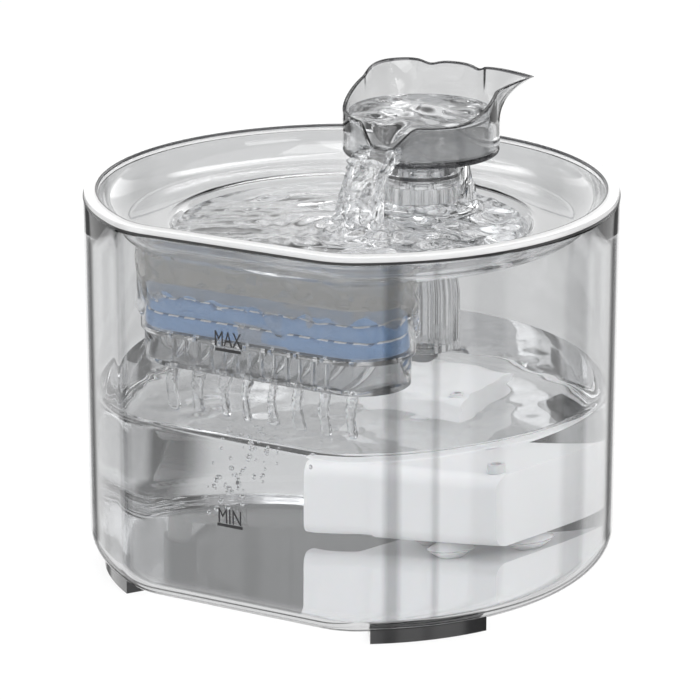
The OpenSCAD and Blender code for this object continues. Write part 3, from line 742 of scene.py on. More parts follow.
def build_lettering():
    """The two words over the level marks, each a flat text mesh scaled to its size and set a hair off the
    flat front."""
    ink = solid("letter ink", finish().ink, 0.5, shade=0.3, wave=600.0, bump=0.1)
    middle = 0.5 * (MARKS[0].x + MARKS[1].x)
    mark_h, lift, letter_h, raised = 0.4 * MM, 0.9 * MM, 5.2 * MM, 0.1 * MM
    front = MARKS[0].y - 0.02 * MM
    for word, width, foot in (("MAX", 10.4 * MM, MARKS[1].z), ("MIN", 9.0 * MM, MARKS[0].z + mark_h)):
        text = bpy.data.curves.new(word, "FONT")
        text.body = word
        text.extrude = 0.5
        holder = bpy.data.objects.new(word, text)
        bpy.context.scene.collection.objects.link(holder)
        bpy.context.view_layer.update()
        mesh = bpy.data.meshes.new_from_object(holder)
        bpy.data.objects.remove(holder)
        points = np.empty(3 * len(mesh.vertices))
        mesh.vertices.foreach_get("co", points)
        points = points.reshape(-1, 3)
        low, high = points.min(axis=0), points.max(axis=0)
        share = (points - low) / (high - low)
        placed = np.stack([middle + (share[:, 0] - 0.5) * width, front + raised * (1 - share[:, 2]),
                           foot + lift + letter_h * share[:, 1]], axis=1)
        mesh.vertices.foreach_set("co", placed.ravel())
        work = bmesh.new()
        work.from_mesh(mesh)
        bmesh.ops.remove_doubles(work, verts=work.verts, dist=MERGE)
        work.to_mesh(mesh)
        work.free()
        place(bpy.data.objects.new("letters_" + word.lower(), mesh), "root", ink)


# ---------- riser ----------

def build_riser():
    """Sleeve, pipe, collar and seal: turned profiles with small round edges. The sleeve's outside is lightly
    fluted: its radius sways with cos 20 a + cos 31 a."""
    soft = 0.35 * MM
    tube = clear("clear riser", finish().clear)
    outer, inner = SLEEVE[1].x - soft, SLEEVE[1].x - TRAY_WALL + soft
    low, high = SLEEVE[0].z + soft, SLEEVE[1].z - soft
    outside = path(arc(outer, low, soft, -90, 0, 4), arc(outer, high, soft, 0, 90, 4))
    inside = path(arc(inner, high, soft, 90, 180, 4), arc(inner, low, soft, 180, 270, 4))
    wall = revolve(path(outside, inside), 0, TOWER_Y, 384)
    turn = np.arange(len(wall)) / len(wall) * TURN
    flute = 0.11 * MM * (np.cos(20 * turn) + np.cos(31 * turn))
    around = np.stack([np.cos(turn), np.sin(turn)], axis=-1)
    wall[:, :len(outside), :2] += (flute[:, None] * around)[:, None, :]
    closed_mesh("riser_tube", wall, "tray", tube, ["riser_sleeve"], wrap_v=True)
    disc = PIPE[1].x
    disc_low, disc_high = SLEEVE[1].z + 0.02 * MM, SLEEVE[1].z + 2.5 * MM
    pipe, bore = 4.95 * MM, 3.75 * MM
    profile = path((bore, PIPE[0].z), arc(pipe - soft, PIPE[0].z + soft, soft, -90, 0, 4),
                   (pipe, disc_low), arc(disc - soft, disc_low + soft, soft, -90, 0, 4),
                   arc(disc - soft, disc_high - soft, soft, 0, 90, 4), (pipe, disc_high),
                   arc(pipe - soft, PIPE[1].z - soft, soft, 0, 90, 4), (bore, PIPE[1].z))
    closed_mesh("pipe_tube", revolve(profile, 0, TOWER_Y), "tray", tube, ["water_pipe"],
                wrap_v=True)
    low, high, outer = COLLAR[0].z, COLLAR[1].z, COLLAR[1].x
    groove, groove_top, spigot = outer - 1.2 * MM, low + 1.6 * MM, 9.05 * MM
    profile = path((spigot, low), (groove, low), (groove, groove_top), (outer, groove_top),
                   arc(outer - 2 * soft, high - 2 * soft, 2 * soft, 0, 90, 5), (spigot, high))
    closed_mesh("collar_ring", revolve(profile, 0, TOWER_Y), "collar", tube,
                ["cup_collar"], wrap_v=True)
    bead, inside = 0.75 * MM, SEAL[1].x - 1.15 * MM
    profile = path(arc(SEAL[1].x - bead, 0.5 * (SEAL[0].z + SEAL[1].z), bead, -80, 80, 9),
                   (inside, SEAL[1].z), (inside, SEAL[0].z))
    closed_mesh("seal_bead", revolve(profile, 0, TOWER_Y), "collar",
                solid("seal rubber", (0.02, 0.02, 0.022), 0.25, bump=0.2, coat=0.3), ["seal_ring"],
                wrap_v=True)


# ---------- cup ----------

def ear_share(a):
    """Share of an ear's lean at an angle (degrees) from the lip: 1 at its tip, 0 beyond its ends."""
    half = np.where(a < 135, 32.0, 17.0)
    return np.maximum(0.0, 1 - np.abs(a - 135) / half) ** 1.3


def rim_height(a):
    """Height of the cup's rim over its underside: lip, brow beside the lip, back, less the ears' droop and
    less a dip behind each ear that ends in a slightly lower back."""
    dip = 1.1 * smoothstep((a - 150) / 12) + 1.3 * np.exp(-((a - 157) / 9) ** 2)
    return (6 + 9.5 * smoothstep(a / 26) + 13.5 * smoothstep((a - 50) / 90) - 3.5 * ear_share(a) - dip) * MM


def rim_lean(a):
    """How far the rim leans out: a little at the lip, much at the ears."""
    return (3 * (1 - smoothstep(a / 26)) + 14.5 * ear_share(a)) * MM


def build_cup():
    """The eared cup. A point at a share t of the wall's height leans out by the rim's lean times
    ((t - 0.45) / 0.55) to the power 1.5; the wall thins towards a round rim."""
    steps = 384
    turn = np.arange(steps) / steps * 360
    a = np.minimum(turn, 360 - turn)[:, None]
    foot = CUP_BASE[1].z
    t = np.concatenate([np.linspace(0, 0.9, 19), np.linspace(0.92, 1, 8)])[None, :]
    rise = (CUP_Z - foot) + rim_height(a)
    lean = rim_lean(a) * np.maximum(0, (t - 0.45) / 0.55) ** 1.5
    thick = (2 - 0.7 * smoothstep((t - 0.4) / 0.6)) * MM
    outer = CUP_R + lean
    z = foot + rise * t
    inner = outer - thick
    mid_top = 0.5 * (outer[:, -1:] + inner[:, -1:])
    bead = 0.5 * thick[:, -1:]
    bow = np.radians(np.linspace(0, 180, 9))[None, 1:-1]
    top_r = mid_top + bead * np.cos(bow)
    top_z = z[:, -1:] + 0.6 * bead * np.sin(bow) - 0.6 * bead
    z = z.copy()
    z[:, -1] -= 0.6 * 0.5 * thick[0, -1]
    r = np.concatenate([outer, top_r, inner[:, ::-1]], axis=1)
    height = np.concatenate([z, top_z, z[:, ::-1]], axis=1)
    angle = np.radians(turn)[:, None]
    points = np.stack([r * np.sin(angle), TOWER_Y - r * np.cos(angle), height], axis=-1)
    smoke = clear("smoked cup", finish().smoke)
    shell = closed_mesh("cup_shell", points, "cup", smoke, ["cup"], wrap_v=True, smooth=60)
    # painted shade: a near-black band on the top of the rim and round the base's outer underside, in place
    # of the dark outline of clear edges
    edge = clear("cup shade edge", (0.08, 0.08, 0.085))
    paint(shell, [edge], lambda x, y, z: z > CUP_Z - 0.75 * MM + rim_height(
        np.degrees(np.abs(np.arctan2(x, TOWER_Y - y)))))
    nose = 0.5 * BASE_H
    spigot_z, spigot, bore = COLLAR[0].z + 2.2 * MM, 9 * MM, 6 * MM
    profile = path((bore, spigot_z), (spigot, spigot_z), (spigot, CUP_Z),
                   arc(CUP_R - nose, CUP_Z + nose, nose, -90, 90, 14), (bore, foot))
    floor = closed_mesh("cup_floor", revolve(profile, 0, TOWER_Y), "cup",
                        clear("smoked cup base", finish().base), ["cup_base"], wrap_v=True)
    # the base's outer underside edge takes the painted shade band too
    paint(floor, [edge], lambda x, y, z: (z < foot - 0.4 * MM)
          & (np.hypot(x, y - TOWER_Y) > CUP_R - 1.2 * MM))


# ---------- filter ----------

def shell_box(name, size, low, high, slot_len, ribs, replaced, tint):
    """A clear open box with half-round ends, upright ribs at the given pitch, and slots in its floor."""
    length, width = size
    soft = 0.5 * MM
    lip = 0.6 * soft
    outside = path(arc(-soft, low + soft, soft, -90, 0, 5), arc(-lip, high - lip, lip, 0, 90, 4))
    profile = path(outside, arc(lip - TRAY_WALL, high - lip, lip, 90, 180, 4), (-TRAY_WALL, low + TRAY_WALL))
    steps = 720 if ribs else 240
    box = stadium_sweep(profile, length, width, 0, BOX_Y, steps)
    if ribs:
        outline, normal = stadium(length, width, steps=steps)
        straight = np.abs(outline[:, 0]) < (length - width) / 2
        swell = np.maximum(0, np.cos(TURN * outline[:, 0] / ribs)) ** 6 * straight
        raised = np.arange(len(profile)) < len(outside)
        box[..., :2] += 0.35 * MM * (swell[:, None] * raised)[..., None] * normal[:, None, :]
    middle = np.array([0, BOX_Y, 0])
    bottom, top = box[:, 0] * [1, 1, 0], box[:, -1] * [1, 1, 0]
    under = middle + (bottom - middle)[:, None] * np.array([0, 0.5])[None, :, None] + [0, 0, low]
    inside = middle + (top - middle)[:, None] * np.array([0.5, 0])[None, :, None] + [0, 0, low + TRAY_WALL]
    shell = clear(name.replace("_", " "), tint)
    piece = closed_mesh(name, np.concatenate([under, box, inside], axis=1), "filter_box",
                        shell, replaced)
    ring, _ = stadium(slot_len, SLOT_W, steps=32)
    ring = ring[:, ::-1] * np.array([-1, 1])
    cut(piece, [prism(ring + np.array([x * SLOT_PITCH, BOX_Y]), low - MM, low + TRAY_WALL + MM)
                for x in np.arange(SLOTS) - (SLOTS - 1) / 2])
    place(piece, "filter_box", shell)


def build_filter_box():
    """Basket with its slotted floor, and the ribbed drip chamber under it."""
    smaller, rib_pitch = 3 * MM, 5 * MM
    size = np.array([BASKET[1].x - BASKET[0].x, BASKET[1].y - BASKET[0].y])
    shell_box("filter_basket_shell", size, BASKET[0].z, BASKET[1].z, 20 * MM, 0, ["filter_basket"],
              finish().clear)
    shell_box("filter_sump_shell", size - smaller, SUMP[0].z, SUMP[1].z - 0.02 * MM, 28 * MM, rib_pitch,
              ["filter_sump"], finish().sump)


def felt_material():
    """Blue non-woven felt: crossing fibres from two stretched noises, dark soaked patches, and a row of
    stitches at the joint of each two pads, whose pale tone is a painted highlight."""
    made, tree = new_material("filter felt")
    where = object_place(tree)
    skin = surface(tree, finish().felt, 0.35, 0.8, 0.15, 160.0, 4200.0, 0.55)
    fibre = []
    for scale in ((900, 260, 260), (260, 260, 1100)):
        stretched = add(tree, "ShaderNodeMapping", Vector=where, Scale=scale).outputs[0]
        noise = add(tree, "ShaderNodeTexNoise", Vector=stretched, Scale=3.0, Detail=4.0)
        fibre.append(noise.outputs["Fac"])
    tangle = maths(tree, "MULTIPLY", *fibre)
    cells = add(tree, "ShaderNodeTexVoronoi", {"distance": "CHEBYCHEV"}, Vector=where, Scale=100.0)
    pick = add(tree, "ShaderNodeSeparateColor", i0=cells.outputs["Color"]).outputs[0]
    patch = mapped(tree, pick, 0.85, 0.87, 0.0, 0.6)
    tone = blended(tree, patch, skin.outputs["Colour"], (0.27, 0.26, 0.24, 1))
    stitch, thread_h = 6.5 * MM, 0.32 * MM
    at = split(tree, where)
    dash = maths(tree, "SINE", maths(tree, "MULTIPLY", at["X"], TURN / stitch))
    sewn = maths(tree, "GREATER_THAN", dash, -0.45)
    # the stitches are real; their pale tone is a painted highlight along the seams
    for joint in (LOWER_PAD[1].z, UPPER_PAD[0].z):
        line = maths(tree, "COMPARE", at["Z"], joint, thread_h)
        tone = blended(tree, maths(tree, "MULTIPLY", line, sewn), tone, (0.85, 0.86, 0.88, 1))
    tone = blended(tree, 0.6, tone, mapped(tree, tangle, 0.0, 1.0, 0.45, 2.2), "MULTIPLY")
    lump = add(tree, "ShaderNodeBump", Strength=0.6, Distance=0.6 * MM, Height=tangle)
    body = add(tree, "ShaderNodeBsdfPrincipled", Base_Color=tone, Roughness=skin.outputs["Roughness"],
               Normal=lump.outputs["Normal"], Sheen_Weight=0.25)
    add(tree, "ShaderNodeOutputMaterial", Surface=body.outputs[0])
    return made


def build_pads():
    """Three felt pads, crowned on top, pinched where they are stitched and soft at their edges. An edge's
    section is a squared half round, from powers of the cosine and sine of its angle."""
    felt = felt_material()
    middle = np.array([0, BOX_Y, 0])
    bow = np.radians(np.linspace(-90, 90, 15))
    out = np.sign(np.cos(bow)) * np.cos(bow) ** 0.45
    rise = np.sign(np.sin(bow)) * np.abs(np.sin(bow)) ** 0.8
    shares = np.linspace(0, 1, 14)[:-1]
    pinch = 0.35 * MM * (1 - shares) ** 0.5 * (shares > 0)
    for name in ("filter_pad_lower", "filter_pad_middle", "filter_pad_upper"):
        low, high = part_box(name)
        half = 0.5 * (high.z - low.z)
        side = np.stack([half * (out - 1), 0.5 * (low.z + high.z) + half * rise], axis=1)
        body = stadium_sweep(side, high.x - low.x, high.y - low.y, 0, BOX_Y, 360)
        ends = []
        for column, level, sign in ((0, low.z, -1), (-1, high.z, 1)):
            ring = body[:, column] * [1, 1, 0]
            cap = middle + (ring - middle)[:, None] * shares[None, :, None]
            quilt = 0.5 * (1 + np.cos(TURN * cap[..., 0] / (20 * MM)))
            cap[..., 2] = level - sign * pinch * quilt
            ends.append(cap)
        skin = np.concatenate([ends[0], body, ends[1][:, ::-1]], axis=1)
        fuzz = waves(skin[..., 0] + skin[..., 2] * 3, skin[..., 1], (3 * MM, 9 * MM), 12, 3)
        skin[..., :2] += (0.06 * MM * fuzz)[..., None] * np.sign(skin[..., :2] - middle[:2])
        piece = closed_mesh(name.replace("filter_", "felt_"), skin, "filter_pads", felt,
                            [name], smooth=80)


# ---------- finishes of the frame's own pieces ----------

def build_finishes():
    """Gives each carried-over piece its procedural finish."""
    white = solid("pump white", finish().white, 0.32, spread=0.12, wave=70.0, bump=0.08, shade=0.05,
                  subsurface=0.05)
    black_finish = solid("foot rubber", (0.012, 0.012, 0.013), 0.12, spread=0.2, wave=150.0, bump=0.25, coat=1.0)
    dark = solid("dark moulding", (0.03, 0.03, 0.032), 0.4, bump=0.2)
    finishes = {
        black_finish: ["foot_pads"],
        white: ["pump_shell", "pump_back", "volute", "pump_cover", "impeller"],
        dark: ["front_bush", "rear_bush"],
        solid("level ink", finish().ink, 0.5, shade=0.3, wave=600.0, bump=0.1): ["level_marks"],
        solid("carbon grain", (0.02, 0.02, 0.02), 0.6, spread=0.3, wave=900.0, grain=1800.0, bump=1.0,
              shade=0.5): ["carbon_core"],
        solid("stacked steel", (0.45, 0.46, 0.48), 0.35, spread=0.2, wave=300.0, grain=2200.0,
              bump=0.3, metal=1.0): ["stator_core"],
        solid("copper wire", (0.72, 0.36, 0.16), 0.3, spread=0.15, wave=1200.0, bump=0.8,
              metal=1.0): ["stator_coil"],
        solid("white ceramic", (0.85, 0.83, 0.78), 0.12, bump=0.03, shade=0.05): ["rotor_shaft"],
        solid("ferrite", (0.04, 0.04, 0.042), 0.55, bump=0.35, shade=0.3): ["rotor_magnet"],
        solid("open foam", (0.03, 0.03, 0.032), 0.9, wave=1100.0, grain=1700.0, bump=1.0,
              shade=0.6): ["intake_sponge"],
        solid("dial white", (0.9, 0.9, 0.905), 0.35, bump=0.1): ["flow_dial"],
        solid("hose silicone", (0.16, 0.165, 0.17), 0.3, bump=0.1, subsurface=0.1): ["outlet_hose"],
        solid("suction silicone", (0.8, 0.81, 0.82), 0.25, bump=0.08,
              subsurface=0.2): ["suction_cups", "cable_gland"],
    }
    for material, names in finishes.items():
        for name in names:
            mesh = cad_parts[name].data
            mesh.materials.clear()
            mesh.materials.append(material)


# ---------- water ----------

def water_material():
    """Clear water, made once."""
    return bpy.data.materials.get("water") or clear("water", (0.985, 0.99, 0.995), ior=WATER_IOR,
                                                    spread=0.0, shade=0.01)


def build_tank_water():
    """Water in the tank: it follows the inner skin, rounds off at the wall and has a rippled top."""
    inset = TANK_WALL + WATER_GAP
    mid_z = TANK[0].z + BASE_ROUND
    level = water().tank_level
    bulge, columns = 2.6 * MM, 90
    profile = path(arc(-BASE_ROUND, mid_z, BASE_ROUND - inset, -90, 0, 16),
                   np.stack([np.full(6, -inset), np.linspace(mid_z, level - bulge, 6)], axis=1)[1:],
                   arc(-inset - bulge, level - bulge, bulge, 0, 90, 10)[1:])
    wall = plan_sweep(profile)
    under = shrunk(wall[:, 0], np.linspace(0, 1, 6)[:-1])
    top = shrunk(wall[:, -1], 1 - np.linspace(0, 1, columns)[1:])
    calm = 0.5 + 0.5 * smoothstep((BOX_Y + 30 * MM - top[..., 1]) / (50 * MM))
    swell = waves(top[..., 0], top[..., 1], (9 * MM, 26 * MM), 24, water().seed + 1)
    fade = smoothstep(np.linspace(0, 4, columns)[1:])[None, :]
    top[..., 2] += 0.16 * MM * swell * calm * fade
    closed_mesh("tank_water", np.concatenate([under, wall, top], axis=1), "root",
                water_material(), smooth=60)


def pool_height(x, y):
    """Height of the pool's ripples: long waves everywhere, sharp ones and rings near the falling stream."""
    fall = np.hypot(x - STREAM_FOOT[0], y - STREAM_FOOT[1])
    u, v = 0.875 * x + 0.485 * y, 0.875 * y - 0.485 * x
    long_waves = waves(0.45 * u, 1.5 * v, (12 * MM, 34 * MM), 26, water().seed + 2)
    short = waves(0.4 * u, 1.3 * v, (8 * MM, 20 * MM), 40, water().seed + 3)
    rough_right = smoothstep((x + 0.4 * y - 5 * MM) / (25 * MM))
    near = np.exp(-(fall / (26 * MM)) ** 2)
    rings = np.cos(TURN * fall / (6.5 * MM)) * np.exp(-fall / (18 * MM))
    ripple = water().ripple
    return ripple * ((0.6 + 0.4 * rough_right) * long_waves + (0.05 + 1.9 * rough_right + 0.9 * near) * short
                     + 1.6 * rings)


def build_pool_water():
    """Water in the drinking pool: a rippled disc that follows the pool's section, cut round the tower."""
    top, _ = pool_section()
    level = water().pool_level
    bed = top[top[:, 1] < level - 0.2 * MM] + np.array([-WATER_GAP, WATER_GAP])
    rim = np.interp(level, top[:, 1], top[:, 0]) - WATER_GAP
    profile = path(bed, (rim, level))
    side = revolve(profile, 0, PLAN_Y, 360)
    under = revolve(path((0, bed[0, 1]), (0.5 * bed[0, 0], bed[0, 1])), 0, PLAN_Y, 360)
    rings = np.linspace(rim, 0, 76)[1:]
    surface_top = revolve(np.stack([rings, np.full(len(rings), level)], axis=1), 0, PLAN_Y, 360)
    surface_top[..., 2] += (pool_height(surface_top[..., 0], surface_top[..., 1])
                            * smoothstep((rim - rings) / (3 * MM))[None, :])
    pool = closed_mesh("pool_water", np.concatenate([under, side, surface_top], axis=1), "tray",
                       water_material(), smooth=60)
    bell_z = np.linspace(POOL_Z - MM, level + 3 * MM, 12)
    bell = np.stack([tower_radius(bell_z) + WATER_GAP, bell_z], axis=1)
    bore = revolve(path((0, bell_z[0]), bell, (0, bell_z[-1])), 0, TOWER_Y, 128)
    cut(pool, [bore])
    place(pool, "tray", water_material(), smooth=50)


def build_cup_water():
    """Water standing in the cup: domed over the pipe, dipping to the lip, rippled all over."""
    steps = 256
    turn = np.arange(steps) / steps * 360
    a = np.minimum(turn, 360 - turn)
    angle = np.radians(turn)[:, None]
    level = water().cup_level
    floor = CUP_BASE[1].z + WATER_GAP
    inner = CUP_R - 2 * MM - WATER_GAP
    lip_z = CUP_Z + rim_height(a) + 1.6 * MM
    edge_z = np.minimum(level, np.maximum(lip_z, CUP_Z + 7.6 * MM))[:, None]

    def at(radius, z):
        radius = np.broadcast_to(radius, (steps, len(radius)))
        z = np.broadcast_to(z, radius.shape)
        return np.stack([radius * np.sin(angle), TOWER_Y - radius * np.cos(angle), z], axis=-1)

    wall = at(np.full(5, inner), floor + (edge_z - floor) * np.linspace(0, 1, 5))
    under = at(inner * np.linspace(0, 1, 4)[:-1], floor)
    shares = np.linspace(1, 0, 60)[1:]
    top = at(inner * shares, level + (edge_z - level) * shares ** 6)
    x, y = top[..., 0], top[..., 1] - TOWER_Y
    dome = 1.6 * MM * np.exp(-(np.hypot(x, y) / (11 * MM)) ** 2)
    lumps = waves(x, y, (8 * MM, 20 * MM), 24, water().seed + 4)
    flow = (1 - smoothstep(a / 24))[:, None]
    top[..., 2] += (dome + 0.35 * MM * lumps * (1 + flow)) * smoothstep((1 - shares) * 5)
    closed_mesh("cup_water", np.concatenate([under, wall, top], axis=1), "cup",
                water_material(), smooth=60)


def rope(start, end, bow, sizes, lobes, twist, seed, around=56, along=120, rough=0.08):
    """A falling rope of water from start to end. Its line drops by bow times the share t of its length plus
    the rest times t squared. Its section is an ellipse whose half-widths run through `sizes`, and whose
    outline has lobes that twist and swell."""
    t = np.linspace(0, 1, along)
    a = np.arange(around) / around * TURN
    start, end = np.array(start), np.array(end)
    line = start + (end - start) * t[:, None]
    line[:, 2] = start[2] + (end[2] - start[2]) * (bow * t + (1 - bow) * t ** 2)
    share = np.linspace(0, 1, len(sizes))
    wide = np.interp(t, share, [s[0] for s in sizes])
    deep = np.interp(t, share, [s[1] for s in sizes])
    g, h = np.meshgrid(a, t, indexing="ij")
    swirl = np.cos(lobes * (g + twist * h) + seed)
    noise = waves(2 * MM * np.cos(g) + 0.02 * h, 2 * MM * np.sin(g) + 0.05 * h, (4 * MM, 12 * MM), 20, seed)
    swell = 1 + 0.22 * swirl + rough * noise
    ends = np.sqrt(np.clip(np.minimum(t, 1 - t) * 14, 0, 1))
    sway = 0.5 * MM * np.sin(TURN * (1.3 * t + seed))
    x = line[:, 0] + wide * ends * swell * np.cos(g) + sway
    y = line[:, 1] + deep * ends * swell * np.sin(g)
    return np.stack([x, y, np.broadcast_to(line[:, 2], g.shape)], axis=-1)


def build_stream():
    """The stream that pours from the lip into the pool: one thick and two thin twisted ropes."""
    lip = np.array([*LIP, CUP_Z + 8.4 * MM])
    foot = np.array([*STREAM_FOOT, water().pool_level - MM])
    # start from the lip, end from the foot, bow, half-widths, lobes, twist, seed, points round and along
    ropes = [
        ((-1, 0, 0), (0, 6, 0), 0.35, [(8, 2), (8.5, 2.4), (6.5, 3.2), (6, 4), (8, 6.5)],
         4, 2.6, 1, 96, 200),
        ((-6, 1, -0.5), (-8, 10, 0), 0.3, [(2.5, 1.6), (2.6, 2), (1.8, 1.6), (2.8, 2.4)],
         3, 3.0, 2, 56, 120),
        ((5, 1, -0.5), (9, 4, 0), 0.3, [(2.8, 1.6), (2.2, 1.8), (1.6, 1.6), (2.8, 2.4)],
         3, 2.5, 5, 56, 120),
    ]
    for i, (start, end, bow, sizes, *rest) in enumerate(ropes):
        start, end = lip + np.array(start) * MM, foot + np.array(end) * MM
        points = rope(start, end, bow, np.array(sizes) * MM, *rest)
        closed_mesh("stream_%d" % (i + 1), points, "tray", water_material(), smooth=80)


def balls(name, centres, radii, body, seed):
    """Many small closed balls in one mesh, each a coarse grid of rings, a little out of round."""
    around, along = 12, 9
    a = np.arange(around)[:, None] / around * TURN
    b = np.linspace(-math.pi / 2, math.pi / 2, along)
    unit = np.stack([np.cos(b) * np.cos(a), np.cos(b) * np.sin(a), np.sin(b) + 0 * a], axis=-1)
    draw = np.random.default_rng(seed)
    stretch = draw.uniform(0.8, 1.2, (len(radii), 1, 1, 3))
    points = centres[:, None, None, :] + unit * radii[:, None, None, None] * stretch
    mesh = clean_mesh(name, *several(points))
    place(bpy.data.objects.new(name, mesh), body, water_material(), smooth=180)


def build_drips():
    """One thin stream under each slot of the drip chamber, down to the water in the tank."""
    level = water().tank_level
    draw = np.random.default_rng(water().seed)
    for i in range(SLOTS):
        x = (i - (SLOTS - 1) / 2) * SLOT_PITCH
        y = BOX_Y - draw.uniform(9, 12) * MM
        drift = draw.uniform(-0.6, 0.9) * MM
        top = (x, y, SUMP[0].z - 0.1 * MM)
        foot = (x + drift, y - 0.5 * MM, level - 0.8 * MM)
        sizes = np.array([(2.5, 1.4), (2.0, 1.1), (1.7, 1.1), (2.1, 1.3)]) * MM
        sizes[:, 0] *= draw.uniform(0.85, 1.15)
        closed_mesh("drip_%d" % (i + 1), rope(top, foot, 0.6, sizes, 2, 1.5, 10 + i, 28, 48, 0.06),
                    "filter_box", water_material(), smooth=80)


def build_filter_water():
    """Water on the pads, lumpy where it falls from the tray, and a film that runs down the outside of the
    basket. The film's part over the basket's rim is grey and milky like the water on the pads."""
    size = BASKET[1].x - BASKET[0].x, BASKET[1].y - BASKET[0].y
    steps, seed = 480, water().seed
    # grey milky water for the pads and for the top of the film, just under the tray
    grey_milky_water = clear("grey milky water", (0.58, 0.575, 0.56), ior=WATER_IOR, roughness=0.03, wave=110.0,
                    bump=0.4, milk=0.15, share=0.0)
    middle = np.array([0, BOX_Y])
    low = UPPER_PAD[1].z + 0.1 * MM
    ring, _ = stadium(*size, TRAY_WALL + 0.15 * MM, steps)
    flat = middle + ring[:, None] * np.linspace(1, 0, 48)[None, :, None]
    lumps = waves(flat[..., 0], flat[..., 1], (6 * MM, 18 * MM), 30, seed + 12)
    room = np.where(flat[..., 1] < BOX_Y - 6 * MM, 4.5 * MM, 1.0 * MM)
    top = low + np.clip(1.9 * MM + 2.2 * MM * lumps, 0.3 * MM, room)
    under = middle + ring[:, None] * np.linspace(0, 1, 6)[None, :, None]
    pad = np.concatenate([np.concatenate([under, np.full(under.shape[:2] + (1,), low)], axis=-1),
                          np.concatenate([flat, top[..., None]], axis=-1)], axis=1)
    closed_mesh("pad_water", pad, "filter_box", grey_milky_water, smooth=60)

    outline, normal = stadium(*size, steps=steps)
    share = np.linspace(0, 1, 48)[None, :]
    along = np.arange(steps)[:, None] / steps * 2 * sum(size)
    edge = waves(along, 0 * along, (9 * MM, 40 * MM), 20, seed + 13)
    foot = BASKET[0].z + 8.5 * MM + 2.6 * MM * edge
    ceiling = pool_section()[1]
    from_pool = np.hypot(outline[:, 0], outline[:, 1] + BOX_Y - PLAN_Y)[:, None]
    roof = np.interp(from_pool, ceiling[:, 0], ceiling[:, 1]) - 0.4 * MM
    height = foot + (roof - foot) * share
    swell = waves(along + 0 * share, height, (9 * MM, 24 * MM), 36, seed + 14)
    ends = np.sqrt(np.clip(np.minimum(share * 6, (1 - share) * 20), 0.02, 1))
    thick = np.clip(0.8 + 0.75 * swell, 0.1, 2.8) * MM * ends
    gap = 0.08 * MM

    def layer(offset):
        flat = middle + outline[:, None] + offset[..., None] * normal[:, None]
        return np.concatenate([flat, height[..., None]], axis=-1)

    film = np.concatenate([layer(gap + thick), layer(np.full(thick.shape, gap))[:, ::-1]], axis=1)
    film = closed_mesh("basket_film", film, "filter_box", water_material(), wrap_v=True, smooth=60)
    # the film's top, just under the basket's rim, takes the grey milky water
    paint(film, [grey_milky_water], lambda x, y, z: (
        z > BASKET[1].z - 4 * MM + 1.2 * MM * waves(x, y, (7 * MM, 20 * MM), 14, seed + 15)))


def build_bubbles():
    """Bubbles that trail off under the drips, spread wider near the surface, on a slanting cloud."""
    draw = np.random.default_rng(water().seed + 8)
    count = water().bubbles
    level = water().tank_level
    depth = draw.beta(1.6, 1.7, count)
    x = (20 * (1 - depth) - 15) * MM + draw.normal(0, 7.5 * MM, count) * (1.15 - depth) * 1.3
    y = BOX_Y - 10 * MM + draw.normal(0, 4 * MM, count)
    z = level - 3 * MM - 32 * MM * depth
    radii = draw.uniform(0.35, 1.15, count) * MM
    balls("bubbles", np.stack([x, y, z], axis=1), radii, "root", seed=water().seed + 9)


def build_splash():
    """Beads thrown up round the foot of the stream."""
    draw = np.random.default_rng(water().seed + 5)
    count = 46
    a = draw.uniform(0, TURN, count)
    r = draw.uniform(5, 17, count) * MM
    x = STREAM_FOOT[0] + r * np.cos(a)
    y = STREAM_FOOT[1] + 4 * MM + 0.8 * r * np.sin(a)
    z = water().pool_level + draw.uniform(0.2, 3.2, count) * MM * np.exp(-r / (14 * MM))
    balls("splash_beads", np.stack([x, y, z], axis=1), draw.uniform(0.3, 0.9, count) * MM, "tray",
          seed=water().seed + 6)


# ---------- stage ----------

def ramp(tree, value, stops):
    """A grey colour ramp over a value, from a list of (position, level)."""
    made = add(tree, "ShaderNodeValToRGB", i0=value)
    elements = made.color_ramp.elements
    while len(elements) < len(stops):
        elements.new(0.5)
    for element, (at, level) in zip(elements, stops):
        element.position = at
        element.color = (level, level, level, 1)
    return made.outputs["Color"]


def strips(marks):
    """Ramp stops for a white surround with soft dark strips. Each mark is (middle, half width, level), in
    degrees."""
    stops = [(0.0, 1.0)]
    for middle, half, level in marks:
        soft = min(half, 2.0)
        for edge, inner, outer in ((-half, level, 1.0), (half, 1.0, level)):
            at = middle + edge + 180
            stops += [((at - soft) / 360, outer), ((at + soft) / 360, inner)]
    return stops + [(1.0, 1.0)]


